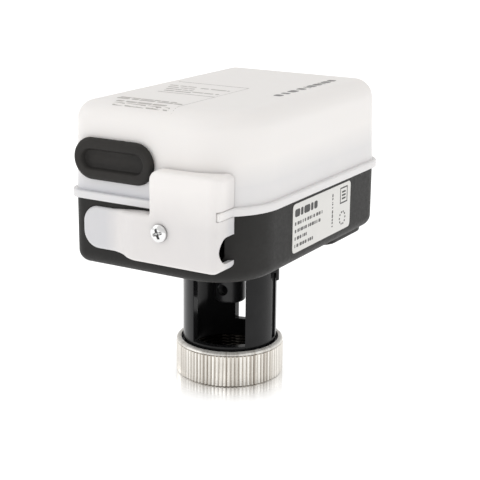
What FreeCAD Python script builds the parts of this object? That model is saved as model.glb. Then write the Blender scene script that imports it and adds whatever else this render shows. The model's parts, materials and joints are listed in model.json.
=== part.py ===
import FreeCAD, Part
import math
import os

# Motorized valve actuator. Millimetres, +Z up.
# Origin: axis of the yoke, at the underside of the ring nut. +X is the side with the rating
# label, -Y is the front with the rubber plug and the terminal cover.

V = FreeCAD.Vector
UP = V(0, 0, 1)
BACK = V(0, 1, 0)
RIGHT = V(1, 0, 0)

FIT = 0.05              # radial clearance of a running fit
SEAT = 0.02             # radial clearance of a screw or pin in its own seat
GAP = 0.3               # space between parts that are taken off or that move past each other

# Housing outline: base and lid share it
HALF_WIDTH = 42.2
FRONT_Y = -61.9
REAR_Y = 69.6
CORNERS = (6.2, 26.5, 11.5, 8.0)        # front left, front right, rear right, rear left
ARC_Y = FRONT_Y + CORNERS[1]            # where the large front right corner ends on the side wall

# Base housing
BASE_BOTTOM = 61.2
BASE_TOP = 90.9
BASE_WALL = 2.4
BASE_FILLET = 5.5
BASE_INNER_FILLET = 3.0
FLOOR_TOP = BASE_BOTTOM + 2.5
BOSS_WALL = 0.8
BOSS_ROOT = 1.0                         # depth that a boss reaches into the wall it stands on
SUMP_BOTTOM = 58.8
SUMP_HALF_WIDTH = 38.0
SUMP_FRONT = 24.0
SUMP_REAR = 64.0
SUMP_CORNER = 8.0
SUMP_FILLET = 1.2
GROOVE_INSETS = (0.7, 1.7)              # seal groove in the rim of the base: outer and inner edge
GROOVE_DEPTH = 0.8
CABLE_OPENING = (14.0, 72.0, 31.0, 87.0)            # left, bottom, right, top, behind the terminal cover
TERMINAL_OPENING = (5.5, 96.5, 25.5, 104.5)

# Lid
FLANGE_TOP = 94.2
FLANGE_OVERHANG = 1.9
LID_TOP = 132.3
LID_DRAFT = 1.1                         # lean of the front, right and rear walls up to the shoulder
LID_DRAFT_LEFT = 0.3
LID_TOP_FILLET = 8.8
LID_ROUND_STEPS = 7                     # sections that carry the rounded top edge
SMALLEST_CORNER = 0.6
LID_WALL = 2.2
TONGUE_LEFT = 22.0
TONGUE_RIGHT = 34.6
TONGUE_FRONT = -66.6
LID_SCREW_SPOTS = ((-35.0, -47.0), (29.5, -48.5), (34.0, 60.0), (-34.5, 62.0))
LID_BOSS_R = 3.6
LID_BOSS_ROOF = 1.0                     # how far below the lid's outer skin its bosses end
LID_SCREW_R = 1.5
LID_SCREW_HEAD_R = 2.8
LID_SCREW_HEAD_HEIGHT = 2.5
LID_SCREW_WELL_TOP = BASE_BOTTOM + 5.0
LID_SCREW_TIP = BASE_TOP + 12.0
SLOT_HALF_WIDTH = 0.5
FLANGE_EDGE = 0.8

# Rubber plug in the lid's front
PLUG_LEFT = -39.6
PLUG_RIGHT = 0.7
PLUG_BOTTOM = 99.4
PLUG_TOP = 117.4
PLUG_PROUD = 2.3
PLUG_RIM = 2.2
PLUG_DISH_INSET = 4.6
PLUG_DISH_DEPTH = 2.4
PLUG_EDGE = 2.0
PLUG_NECK_REACH = 4.0                   # how far the neck and its lip reach behind the wall's face

# Terminal cover
COVER_LEFT = 1.6
COVER_RIGHT = 34.3
COVER_FRONT = -68.3
COVER_BOTTOM = 68.7
COVER_TOP = 108.4
COVER_WALL = 1.9
COVER_CORNER = 2.6
COVER_TOP_LEFT = 4.5
COVER_EDGE = 1.6
COVER_ARC = 4.0                         # its upright front right edge, seen from above
TAB_LEFT = -35.5
TAB_BOTTOM = 69.5
TAB_TOP = 88.1
RAMP_TOP = 89.4
TAB_CORNER = 7.5
OUTLINE_BLEND = 12.0                    # large radii where the tab's edges run into the box
TAB_THICK = 1.3
RAMP_LEFT = -20.0
RAMP_RIGHT = -5.2
NOTCH_Y = -60.4
NOTCH_Z = 77.8
NOTCH_R = 5.5
COVER_SCREW_X = 7.2
COVER_SCREW_Z = 82.8
COVER_SCREW_HEAD_R = 3.75
COVER_SCREW_HEAD_HEIGHT = 2.2
COVER_SCREW_CROWN = 1.4
COVER_SCREW_R = 1.9
COVER_SCREW_REACH = 9.0                 # depth of its boss and hole behind the base's front face
COVER_SCREW_BOSS_R = 4.6
CROSS_SLOT = (2.0, 0.4)                 # half length and half width of the cross recess

# Rating label
LABEL_FRONT = -19.3
LABEL_REAR = 37.0
LABEL_BOTTOM = 67.0
LABEL_TOP = 88.8
LABEL_THICK = 0.2
LABEL_CORNER = 2.0

# Yoke and ring nut
YOKE_R = 21.7
YOKE_FOOT_R = 21.3                      # slimmer foot that passes through the ring nut's thread
YOKE_SHOULDER = 17.0
YOKE_BORE_R = 18.4
YOKE_FOOT = 10.2
YOKE_PLATE = 57.2
WINDOW_LEFT = -7.1
WINDOW_RIGHT = 16.5
WINDOW_BOTTOM = 18.0
LUG_X = 20.9
LUG_Y = 3.5
LUG_R = 2.7
LUG_BOTTOM = 46.2
LUG_SEAT = 54.0
LUG_WELL_R = 2.2                        # groove down the leg that lets a screwdriver reach the lug's screw
LUG_OPEN_TOP = 50.0
LUG_SCREW_R = 1.25
LUG_SCREW_HEAD_R = 2.1
FRONT_SCREW_X = 11.5
FRONT_SCREW_Y = -11.5
YOKE_SCREW_R = 1.5
YOKE_SCREW_HEAD_R = 2.6
RING_R = 25.0
RING_HEIGHT = 16.3
RING_THREAD_R = 21.69                   # thread crest, M45 x 1.5
RING_THREAD_LENGTH = 10.0
RING_RELIEF_R = 23.5
RING_RELIEF_TOP = 13.8
RING_LIP_R = 22.6
RING_CHAMFER = 1.6
SNAP_BOTTOM = 12.0
SNAP_HEIGHT = 1.4
SNAP_INNER_R = 20.3
SNAP_OUTER_R = 23.1

# Stem and coupling, in the raised position
STEM_R = 5.0
STEM_BOTTOM = 46.0
STEM_TOP = 116.0
COUPLING_R = 7.2
COUPLING_NECK_R = 6.2
COUPLING_BOTTOM = 34.0
COUPLING_SHOULDER = 45.0
COUPLING_TOP = 53.0
COUPLING_FILLET = 1.2
CROSS_HOLE_R = 2.7
CROSS_HOLE_Z = 40.2
SOCKET_R = 4.2
SOCKET_DEPTH = 11.5
BUSH_R = 7.0
BUSH_FLANGE_R = 9.0
BUSH_FLANGE_THICK = 1.5
SNAP_GAP = 4.0
STEM_CHAMFER = 0.8

# Gear frame
LOWER_PLATE = 68.0
UPPER_PLATE = 88.0
PLATE_THICK = 1.5
PLATE_BOX = (-30.0, -30.0, 30.0, 60.0)
PLATE_CORNER = 5.0
PILLAR_SPOTS = ((-26.0, -26.0), (26.0, -26.0), (-26.8, 13.0), (26.0, 54.0))
PILLAR_R = 3.2
PILLAR_SCREW_R = 1.5
PILLAR_SCREW_HEAD_R = 2.75
SCREW_HEAD_HEIGHT = 2.0
PLATE_TOP = UPPER_PLATE + PLATE_THICK   # the surface that the motor and guide tube stand on

# Gear train: module in mm, tooth counts, and the direction from each gear to the next
PRESSURE_ANGLE = 25.0
NUT_TEETH = 49
NUT_MODULE = 1.0
WHEEL_TEETH = 42
PINION_TEETH = 14
SLOW_MODULE = 0.8
FAST_MODULE = 0.7
NUT_TO_SLOW = 65.0
SLOW_TO_FAST = 120.0
FAST_TO_MOTOR = 200.0
NUT_RIM = (74.0, 82.0)                  # bottom and top of the drive nut's teeth
NUT_RECESS = (21.0, 14.0, 3.0)          # outer radius, inner radius and depth of the pocket in its web
NUT_COLLAR_R = 10.5
NUT_JOURNAL_R = 8.0
WASHER_R = 12.0
WASHER_THICK = 1.5
SLOW_PINION = (73.6, 82.6)
SLOW_WHEEL = (70.4, 72.8)
FAST_PINION = (70.2, 73.2)
FAST_WHEEL = (84.2, 86.8)
MOTOR_PINION = (83.6, 87.4)
END_PLAY = 0.2
ADDENDUM = 0.95                         # tooth height above and below the pitch circle, in modules
DEDENDUM = 1.25
BACKLASH = 0.06
SHAFT_R = 2.0
HUB_R = 3.6

# Motor
MOTOR_R = 22.0
MOTOR_BOTTOM = PLATE_TOP
MOTOR_TOP = 119.0
MOTOR_WALL = 1.2
MOTOR_FLOOR = 2.0
MOTOR_EDGE = 1.5
MOTOR_SHAFT_R = 1.5
MOTOR_BEARING_R = 4.0
MOTOR_PILOT_R = 6.2                     # hole in the upper plate that the motor's pinion goes through
ROTOR_R = 12.0
ROTOR_END_SPACE = 6.0
STATOR_END_SPACE = 5.0
MOTOR_SCREW_ANGLES = (100.0, 280.0)
MOTOR_SCREW_CIRCLE = 14.0
MOTOR_SCREW_R = 1.5
MOTOR_SCREW_HEAD_R = 2.7

# Anti-rotation guide and switches
GUIDE_R = 9.0
GUIDE_BORE_R = 7.0
GUIDE_TOP = 119.0
GUIDE_PIN_R = 1.5
GUIDE_PIN_Z = 112.0
GUIDE_PIN_HALF = 10.0
GUIDE_FLANGE_R = 13.0
GUIDE_FLANGE_THICK = 1.6
GUIDE_JOURNAL_CLEARANCE = 0.4
STROKE = 16.0
SWITCH_BOX = (11.2, -6.4, 17.2, 6.4)
SWITCH_HALF_HEIGHT = 3.0
SWITCH_BUTTON = (10.5, 1.8, 11.2, 4.6)
SWITCH_BUTTON_HALF_HEIGHT = 1.2
BRACKET_THICK = 1.5
BRACKET_HALF_WIDTH = 7.0
BRACKET_FOOT_END = 24.0

# Circuit board
BOARD_Z = 94.4
BOARD_THICK = 1.6
BOARD_OUTLINE = ((-30.5, -55.5), (14.0, -55.5), (32.0, -38.0), (32.0, -13.0), (-30.5, -13.0))
BOARD_FRONT_SPOTS = ((-27.0, -51.0), (-2.0, -51.5))
BOARD_REAR_SPOTS = ((-20.0, -17.0), (20.0, -17.0))
BOARD_SPOTS = BOARD_FRONT_SPOTS + BOARD_REAR_SPOTS
BOARD_POST_R = 2.4
BOARD_POST_FOOT = FLOOR_TOP + 3.0
BOARD_SCREW_R = 1.25
BOARD_SCREW_HEAD_R = 2.3
BOARD_SCREW_LENGTH = 4.5

# Parts on the circuit board, and the clamp for the cable below it
BOARD_TOP = BOARD_Z + BOARD_THICK
TERMINAL_BOX = (4.0, -47.0, 24.0, -38.0)
TERMINAL_HEIGHT = 10.0
TERMINAL_FIRST_WAY = 6.5
TERMINAL_PITCH = 5.0
TERMINAL_WAYS = 4
TERMINAL_SCREW_Y = -42.0
TERMINAL_WIRE_R = 1.4
TERMINAL_WIRE_Z = BOARD_TOP + 3.2
TERMINAL_WELL_R = 1.7
TERMINAL_WELL_FLOOR = BOARD_TOP + 5.5
CLAMP_BAR = (6.0, -47.0, 24.0, -41.0)
CLAMP_BAR_BOTTOM = FLOOR_TOP + 8.0
CLAMP_THICK = 2.5
RELAY_LEFTS = (-24.0, -11.0)
RELAY_SIZE = (10.0, 19.0, 14.0)
RELAY_FRONT = -40.0
CAPACITOR_R = 6.0
CAPACITOR_LENGTH = 26.0
CAPACITOR_END = (1.0, -26.0)
DIP_BOX = (-27.0, -48.0, -8.0, -41.0)
DIP_HEIGHT = 5.0
DIP_RIM = 1.0
DIP_LEVERS = 8
DIP_PITCH = 2.1


def polar(centre, radius, degrees):
    """Point at a distance and direction from a centre, in plan."""
    angle = math.radians(degrees)
    return centre[0] + radius * math.cos(angle), centre[1] + radius * math.sin(angle)


SLOW_AT = polar((0, 0), NUT_MODULE * (NUT_TEETH + PINION_TEETH) / 2, NUT_TO_SLOW)
FAST_AT = polar(SLOW_AT, SLOW_MODULE * (WHEEL_TEETH + PINION_TEETH) / 2, SLOW_TO_FAST)
MOTOR_AT = polar(FAST_AT, FAST_MODULE * (WHEEL_TEETH + PINION_TEETH) / 2, FAST_TO_MOTOR)


def rounded_wire(x0, y0, x1, y1, radii, z):
    """Rectangle with its own radius at each corner, from the front left one round to the rear left."""
    centres = (
        (x0 + radii[0], y0 + radii[0]),
        (x1 - radii[1], y0 + radii[1]),
        (x1 - radii[2], y1 - radii[2]),
        (x0 + radii[3], y1 - radii[3]),
    )
    arcs = []
    for corner, centre in enumerate(centres):
        start = 180 + 90 * corner
        spots = [polar(centre, radii[corner], start + turn) for turn in (0, 45, 90)]
        arcs.append([V(x, y, z) for x, y in spots])
    edges = []
    for corner, arc in enumerate(arcs):
        edges.append(Part.Arc(*arc).toShape())
        following = arcs[(corner + 1) % 4]
        if arc[2].distanceToPoint(following[0]) > 1e-6:
            edges.append(Part.LineSegment(arc[2], following[0]).toShape())
    return Part.Wire(edges)


def prism(wire, height):
    return Part.Face(wire).extrude(UP * height)


def polygon(points, z0, z1):
    corners = [V(x, y, z0) for x, y in points]
    return prism(Part.makePolygon(corners + corners[:1]), z1 - z0)


def slab(x0, y0, x1, y1, radius, z0, z1):
    """Upright rounded block."""
    return prism(rounded_wire(x0, y0, x1, y1, (radius,) * 4, z0), z1 - z0)


def front_slab(x0, z0, x1, z1, radius, y0, y1):
    """Rounded block seen square on from the front, running from y0 back to y1."""
    body = prism(rounded_wire(x0, z0, x1, z1, (radius,) * 4, -y1), y1 - y0)
    body.rotate(V(0, 0, 0), RIGHT, 90)
    return body


def box(x0, y0, z0, x1, y1, z1):
    return Part.makeBox(x1 - x0, y1 - y0, z1 - z0, V(x0, y0, z0))


def rod(radius, x, y, z0, z1):
    return Part.makeCylinder(radius, z1 - z0, V(x, y, z0), UP)


def tube(outer, inner, x, y, z0, z1):
    return rod(outer, x, y, z0, z1).cut(rod(inner, x, y, z0, z1))


def rod_back(radius, x, z, y0, y1):
    """Round bar along Y."""
    return Part.makeCylinder(radius, y1 - y0, V(x, y0, z), BACK)


def join(shapes):
    shapes = list(shapes)
    return shapes[0].fuse(shapes[1:]).removeSplitter()


def group(shapes):
    """Separate solids that share one node."""
    return Part.makeCompound(list(shapes))


def level_edges(shape, z):
    """Edges that lie wholly at one height."""
    return [e for e in shape.Edges if abs(e.BoundBox.ZMin - z) < 1e-4 and abs(e.BoundBox.ZMax - z) < 1e-4]


def case_wire(inset, z, corners=CORNERS):
    """Housing outline, moved in by inset, or out where it is negative."""
    radii = [radius - inset for radius in corners]
    return rounded_wire(-HALF_WIDTH + inset, FRONT_Y + inset, HALF_WIDTH - inset, REAR_Y - inset, radii, z)


def case_prism(inset, z0, z1):
    return prism(case_wire(inset, z0), z1 - z0)


def base_shell():
    outer = case_prism(0, BASE_BOTTOM, BASE_TOP)
    outer = outer.makeFillet(BASE_FILLET, level_edges(outer, BASE_BOTTOM))
    sump = slab(-SUMP_HALF_WIDTH, SUMP_FRONT, SUMP_HALF_WIDTH, SUMP_REAR, SUMP_CORNER, SUMP_BOTTOM, FLOOR_TOP)
    sump = sump.makeFillet(SUMP_FILLET, level_edges(sump, SUMP_BOTTOM))
    inner = case_prism(BASE_WALL, FLOOR_TOP, BASE_TOP)
    inner = inner.makeFillet(BASE_INNER_FILLET, level_edges(inner, FLOOR_TOP))
    well = slab(-SUMP_HALF_WIDTH + BASE_WALL, SUMP_FRONT + BASE_WALL, SUMP_HALF_WIDTH - BASE_WALL,
                SUMP_REAR - BASE_WALL, SUMP_CORNER - BASE_WALL, SUMP_BOTTOM + BASE_WALL, FLOOR_TOP + 1)
    return outer.fuse(sump).cut([inner, well])


def base_bosses():
    root = FLOOR_TOP - BOSS_ROOT
    bosses = [rod(PILLAR_R + BOSS_WALL, x, y, root, LOWER_PLATE) for x, y in PILLAR_SPOTS[:3]]
    x, y = PILLAR_SPOTS[3]              # this one stands in the sump
    bosses.append(rod(PILLAR_R + BOSS_WALL, x, y, SUMP_BOTTOM + BOSS_ROOT, LOWER_PLATE))
    bosses += [rod(BOARD_POST_R + BOSS_WALL, x, y, root, BOARD_POST_FOOT) for x, y in BOARD_FRONT_SPOTS]
    bosses += [rod(LID_BOSS_R, x, y, root, BASE_TOP) for x, y in LID_SCREW_SPOTS]
    bosses.append(rod_back(COVER_SCREW_BOSS_R, COVER_SCREW_X, COVER_SCREW_Z, FRONT_Y + BOSS_ROOT,
                           FRONT_Y + COVER_SCREW_REACH))
    return bosses


def base_holes():
    below = SUMP_BOTTOM - 1
    holes = [rod(PILLAR_SCREW_R + SEAT, x, y, LOWER_PLATE - 4.4, LOWER_PLATE) for x, y in PILLAR_SPOTS]
    for x, y in LID_SCREW_SPOTS:
        holes.append(rod(LID_SCREW_R + SEAT, x, y, below, BASE_TOP))
        holes.append(rod(LID_SCREW_HEAD_R + 0.1, x, y, below, LID_SCREW_WELL_TOP))
    holes.append(rod(BUSH_R, 0, 0, BASE_BOTTOM, FLOOR_TOP))
    for side in (-1, 1):
        holes.append(rod(YOKE_SCREW_R + SEAT, side * FRONT_SCREW_X, FRONT_SCREW_Y, BASE_BOTTOM, FLOOR_TOP))
        holes.append(rod(LUG_SCREW_R + SEAT, side * LUG_X, LUG_Y, BASE_BOTTOM, FLOOR_TOP))
    holes.append(rod_back(COVER_SCREW_R + FIT, COVER_SCREW_X, COVER_SCREW_Z, FRONT_Y,
                          FRONT_Y + COVER_SCREW_REACH))
    holes.append(front_slab(*CABLE_OPENING, 2, FRONT_Y - 2, ARC_Y - 14))
    return holes


def seal_ring(clearance):
    """Ring that follows the rim of the base, in its groove."""
    outer, inner = GROOVE_INSETS
    ring = case_prism(outer + clearance, BASE_TOP - GROOVE_DEPTH, BASE_TOP)
    return ring.cut(case_prism(inner - clearance, BASE_TOP - GROOVE_DEPTH, BASE_TOP))


def base_housing():
    return join([base_shell()] + base_bosses()).cut(base_holes() + [seal_ring(0)])


def lid_gasket():
    return seal_ring(SEAT)


def lid_wire(inset, rise, z):
    """Lid outline at a height, moved in by inset, with its walls leaning in by their share of the draft."""
    lean = inset + LID_DRAFT * rise
    left = inset + LID_DRAFT_LEFT * rise
    front_left, front_right, rear_right, rear_left = CORNERS
    radii = (
        max(front_left - left, SMALLEST_CORNER),
        front_right - lean,
        rear_right - lean,
        max(rear_left - left, SMALLEST_CORNER),
    )
    return rounded_wire(-HALF_WIDTH + left, FRONT_Y + lean, HALF_WIDTH - lean, REAR_Y - lean, radii, z)


def lid_body(inset, top, fillet):
    """Tapered block from the flange up to the shoulder, then a top edge rounded as a quarter circle."""
    shoulder = top - fillet
    walls = Part.makeLoft([lid_wire(inset, 0, BASE_TOP), lid_wire(inset, 1, shoulder)], True, True)
    sections = []
    for step in range(LID_ROUND_STEPS + 1):
        angle = math.pi / 2 * step / LID_ROUND_STEPS
        inward = fillet * (1 - math.cos(angle))
        sections.append(lid_wire(inset + inward, 1, shoulder + fillet * math.sin(angle)))
    return walls.fuse(Part.makeLoft(sections, True, False))


def tongue(grow):
    """Straight-sided piece of the lid's flange that the terminal cover's slot fits over."""
    return box(TONGUE_LEFT - grow, TONGUE_FRONT - grow, BASE_TOP - grow,
               TONGUE_RIGHT + grow, ARC_Y - 16, FLANGE_TOP + grow)


def plug_slab(inset, y0, y1):
    """Long rounded shape of the plug, moved in by inset."""
    radius = (PLUG_TOP - PLUG_BOTTOM) / 2 - inset - 0.01
    return front_slab(PLUG_LEFT + inset, PLUG_BOTTOM + inset, PLUG_RIGHT - inset, PLUG_TOP - inset,
                      radius, y0, y1)


def lid():
    flange = case_prism(-FLANGE_OVERHANG, BASE_TOP, FLANGE_TOP).fuse(tongue(0)).removeSplitter()
    flange = flange.makeFillet(FLANGE_EDGE, level_edges(flange, FLANGE_TOP))
    outer = flange.fuse(lid_body(0, LID_TOP, LID_TOP_FILLET))
    shell = outer.cut(lid_body(LID_WALL, LID_TOP - LID_WALL, LID_TOP_FILLET - LID_WALL))
    roof = lid_body(LID_BOSS_ROOF, LID_TOP - LID_BOSS_ROOF, LID_TOP_FILLET - LID_BOSS_ROOF)
    bosses = [rod(LID_BOSS_R, x, y, BASE_TOP, LID_TOP).common(roof) for x, y in LID_SCREW_SPOTS]
    holes = [rod(LID_SCREW_R + SEAT, x, y, BASE_TOP, LID_SCREW_TIP + 2) for x, y in LID_SCREW_SPOTS]
    holes.append(plug_slab(PLUG_RIM, FRONT_Y - 1, FRONT_Y + PLUG_NECK_REACH + 1))
    holes.append(front_slab(*TERMINAL_OPENING, 1, FRONT_Y - 1, ARC_Y - 18))
    return join([shell] + bosses).cut(holes)


def lid_screws():
    """Four long screws from below, through the base and into the lid's bosses."""
    head_top = LID_SCREW_WELL_TOP
    head_bottom = head_top - LID_SCREW_HEAD_HEIGHT
    screws = []
    for x, y in LID_SCREW_SPOTS:
        shank = rod(LID_SCREW_R, x, y, head_bottom, LID_SCREW_TIP)
        head = rod(LID_SCREW_HEAD_R, x, y, head_bottom, head_top)
        slot = box(x - SLOT_HALF_WIDTH, y - 2, head_bottom - 1, x + SLOT_HALF_WIDTH, y + 2, head_bottom + 1)
        screws.append(join([shank, head]).cut(slot))
    return group(screws)


def lid_plug():
    front = FRONT_Y - PLUG_PROUD
    face = plug_slab(0, front, FRONT_Y)
    rim = [edge for edge in face.Edges if edge.BoundBox.YMax < front + 1e-4]
    face = face.makeFillet(PLUG_EDGE, rim)
    neck = plug_slab(PLUG_RIM + 0.1, FRONT_Y - 0.5, FRONT_Y + PLUG_NECK_REACH)
    dish = plug_slab(PLUG_DISH_INSET, front, front + PLUG_DISH_DEPTH)
    hollow = plug_slab(PLUG_RIM + 2, FRONT_Y + 1, FRONT_Y + PLUG_NECK_REACH)
    return join([face, neck]).cut(group([dish, hollow]))


def housing_envelope():
    """Everything of the base and lid that the terminal cover fits round, with its gap."""
    parts = [
        case_prism(-GAP, BASE_BOTTOM - 5, BASE_TOP),
        case_prism(-FLANGE_OVERHANG - GAP, BASE_TOP - GAP, FLANGE_TOP + GAP),
        case_prism(-GAP, FLANGE_TOP, LID_TOP),
        tongue(GAP),
    ]
    return join(parts)


def s_curve(x0, y0, x1, y1):
    """Two equal tangent arcs that carry a line along X from one level to another."""
    run, rise = x1 - x0, y1 - y0
    radius = (run * run + rise * rise) / (4 * abs(rise))
    turn = math.degrees(math.asin(run / 2 / radius))
    side = 1 if rise > 0 else -1
    first = [polar((x0, y0 + side * radius), radius, side * (step * turn - 90)) for step in (0, 0.5, 1)]
    second = [polar((x1, y1 - side * radius), radius, side * (90 + step * turn)) for step in (1, 0.5, 0)]
    return [first, second]


def plan_prism(start, curves, rest, z0, z1):
    """Upright prism whose outline is a start point, tangent arcs, then straight runs back to the start."""
    here = V(*start, z0)
    edges = []
    for arc in curves:
        spots = [V(x, y, z0) for x, y in arc]
        if here.distanceToPoint(spots[0]) > 1e-6:
            edges.append(Part.LineSegment(here, spots[0]).toShape())
        edges.append(Part.Arc(*spots).toShape())
        here = spots[2]
    for x, y in list(rest) + [start]:
        edges.append(Part.LineSegment(here, V(x, y, z0)).toShape())
        here = V(x, y, z0)
    return prism(Part.Wire(edges), z1 - z0)


def corner_arc(x, y, radius):
    """Three points of the arc round a right front corner."""
    short = radius * (1 - math.sqrt(0.5))
    return [(x - radius, y), (x - short, y + short), (x, y + radius)]


def cover_plan(inset, back):
    """Cover seen from above: thin tab, S-shaped ramp and box, with its front moved in by inset."""
    tab_front = FRONT_Y - GAP - TAB_THICK + inset
    curves = s_curve(RAMP_LEFT, tab_front, RAMP_RIGHT, COVER_FRONT + inset)
    curves.append(corner_arc(COVER_RIGHT - inset, COVER_FRONT + inset, COVER_ARC - inset))
    corners = ((COVER_RIGHT - inset, back), (TAB_LEFT - 1, back))
    return plan_prism((TAB_LEFT - 1, tab_front), curves, corners, COVER_BOTTOM - 1, COVER_TOP + 1)


def rounded_polygon(corners, z):
    """Closed outline through corners given as (x, y, radius), each rounded by its own radius."""
    edges = []
    first = here = None
    count = len(corners)
    for number, (x, y, radius) in enumerate(corners):
        corner = V(x, y, z)
        before = V(*corners[number - 1][:2], z) - corner
        after = V(*corners[(number + 1) % count][:2], z) - corner
        before.normalize()
        after.normalize()
        half_angle = before.getAngle(after) / 2
        entry = corner + before * (radius / math.tan(half_angle))
        leave = corner + after * (radius / math.tan(half_angle))
        inward = before + after
        inward.normalize()
        middle = corner + inward * (radius / math.sin(half_angle) - radius)
        if here is None:
            first = entry
        else:
            edges.append(Part.LineSegment(here, entry).toShape())
        edges.append(Part.Arc(entry, middle, leave).toShape())
        here = leave
    edges.append(Part.LineSegment(here, first).toShape())
    return Part.Wire(edges)


def cover_outline(back):
    """Cover seen from the front: box on the right, tab with a round end on the left."""
    corners = (
        (TAB_LEFT, TAB_BOTTOM, TAB_CORNER),
        (RAMP_LEFT, TAB_BOTTOM, OUTLINE_BLEND),
        (RAMP_RIGHT - 2, COVER_BOTTOM, OUTLINE_BLEND),
        (COVER_RIGHT, COVER_BOTTOM, COVER_CORNER),
        (COVER_RIGHT, COVER_TOP, COVER_CORNER),
        (COVER_LEFT, COVER_TOP, COVER_TOP_LEFT),
        (COVER_LEFT, RAMP_TOP, 1.0),
        (RAMP_RIGHT, RAMP_TOP, OUTLINE_BLEND / 2),
        (RAMP_LEFT, TAB_TOP, OUTLINE_BLEND),
        (TAB_LEFT, TAB_TOP, TAB_CORNER),
    )
    body = prism(rounded_polygon(corners, -back), back - COVER_FRONT + 1)
    body.rotate(V(0, 0, 0), RIGHT, 90)
    return body


def cover_front_edges(cover):
    """Edges round the front faces of the tab, ramp and box, without the upright seams of the ramp."""
    edges = []
    for edge in cover.Edges:
        room = edge.BoundBox
        upright_seam = room.XMax - room.XMin < 1e-4 and RAMP_LEFT - 1 < room.XMin < COVER_LEFT - 1
        if room.YMax < FRONT_Y - GAP - TAB_THICK + 1e-3 and not upright_seam:
            edges.append(edge)
    return edges


def terminal_cover():
    back = ARC_Y - 9
    cover = cover_plan(0, back - 1).common(cover_outline(back))
    cover = cover.makeFillet(COVER_EDGE, cover_front_edges(cover))
    box_inside = front_slab(COVER_LEFT + COVER_WALL, COVER_BOTTOM + COVER_WALL, COVER_RIGHT - COVER_WALL,
                            COVER_TOP - COVER_WALL, 1.0, COVER_FRONT + COVER_WALL, back)
    box_inside = box_inside.common(cover_plan(COVER_WALL, back))
    ramp_inside = cover_plan(COVER_WALL, back).common(
        box(RAMP_LEFT, COVER_FRONT, COVER_BOTTOM + COVER_WALL, COVER_LEFT + 6, FRONT_Y, RAMP_TOP - 1.6))
    boss = rod_back(COVER_SCREW_R + 2, COVER_SCREW_X, COVER_SCREW_Z, COVER_FRONT + 0.8, FRONT_Y - GAP)
    cover = join([cover.cut([box_inside, ramp_inside]), boss])
    notch_left = COVER_RIGHT - 4
    notch = Part.makeCylinder(NOTCH_R, 6, V(notch_left, NOTCH_Y, NOTCH_Z), RIGHT)
    notch = notch.fuse(box(notch_left, NOTCH_Y, NOTCH_Z - NOTCH_R, COVER_RIGHT + 2, ARC_Y, NOTCH_Z + NOTCH_R))
    screw_hole = rod_back(COVER_SCREW_R + FIT, COVER_SCREW_X, COVER_SCREW_Z, COVER_FRONT - 1, FRONT_Y)
    return cover.cut([housing_envelope(), notch, screw_hole])


def terminal_cover_screw():
    head_front = COVER_FRONT - COVER_SCREW_HEAD_HEIGHT
    shank = rod_back(COVER_SCREW_R, COVER_SCREW_X, COVER_SCREW_Z, COVER_FRONT - 0.5,
                     FRONT_Y + COVER_SCREW_REACH - 2)
    head = rod_back(COVER_SCREW_HEAD_R, COVER_SCREW_X, COVER_SCREW_Z, head_front, COVER_FRONT)
    head = head.makeFillet(COVER_SCREW_CROWN, [e for e in head.Edges if e.BoundBox.YMax < head_front + 0.1])
    cross = []
    for across, along in (CROSS_SLOT, CROSS_SLOT[::-1]):
        cross.append(box(COVER_SCREW_X - across, head_front - 1, COVER_SCREW_Z - along,
                         COVER_SCREW_X + across, head_front + 1.3, COVER_SCREW_Z + along))
    return join([shank, head]).cut(cross)


def rating_label():
    plate = slab(LABEL_FRONT, LABEL_BOTTOM, LABEL_REAR, LABEL_TOP, LABEL_CORNER, 0, LABEL_THICK)
    plate.rotate(V(0, 0, 0), RIGHT, 90)
    plate.rotate(V(0, 0, 0), UP, 90)
    plate.translate(V(HALF_WIDTH, 0, 0))
    return plate


def yoke():
    foot = rod(YOKE_FOOT_R, 0, 0, YOKE_FOOT, YOKE_SHOULDER)
    lugs = [rod(LUG_R, side * LUG_X, LUG_Y, LUG_BOTTOM, BASE_BOTTOM) for side in (-1, 1)]
    body = join([rod(YOKE_R, 0, 0, YOKE_SHOULDER, BASE_BOTTOM), foot] + lugs)
    window = box(WINDOW_LEFT, -YOKE_R - 1, WINDOW_BOTTOM, WINDOW_RIGHT, YOKE_R + 1, YOKE_PLATE)
    snap_groove = tube(YOKE_R + 1, SNAP_INNER_R, 0, 0, SNAP_BOTTOM - FIT, SNAP_BOTTOM + SNAP_HEIGHT + FIT)
    holes = [rod(YOKE_BORE_R, 0, 0, YOKE_FOOT, YOKE_PLATE), window, snap_groove]
    holes.append(rod(BUSH_R, 0, 0, YOKE_PLATE, BASE_BOTTOM))
    for side in (-1, 1):
        x = side * LUG_X
        holes.append(rod(LUG_SCREW_R + SEAT, x, LUG_Y, LUG_SEAT, BASE_BOTTOM))
        holes.append(rod(LUG_WELL_R, x, LUG_Y, WINDOW_BOTTOM, LUG_SEAT))
        holes.append(box(x - LUG_WELL_R, LUG_Y - LUG_R, LUG_BOTTOM, x + LUG_WELL_R, LUG_Y, LUG_OPEN_TOP))
        holes.append(rod(YOKE_SCREW_R + SEAT, side * FRONT_SCREW_X, FRONT_SCREW_Y, YOKE_PLATE, BASE_BOTTOM))
    return body.cut(holes)


def yoke_screws():
    """Two screws from below through the lugs, and two from above through the floor of the base."""
    screws = []
    for side in (-1, 1):
        x = side * LUG_X
        shank = rod(LUG_SCREW_R, x, LUG_Y, LUG_SEAT - 1, FLOOR_TOP + 2)
        screws.append(join([shank, rod(LUG_SCREW_HEAD_R, x, LUG_Y, LUG_SEAT - 2.5, LUG_SEAT)]))
        x = side * FRONT_SCREW_X
        shank = rod(YOKE_SCREW_R, x, FRONT_SCREW_Y, YOKE_PLATE + GAP, FLOOR_TOP + 1)
        screws.append(join([shank, rod(YOKE_SCREW_HEAD_R, x, FRONT_SCREW_Y, FLOOR_TOP, FLOOR_TOP + 2)]))
    return group(screws)


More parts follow.
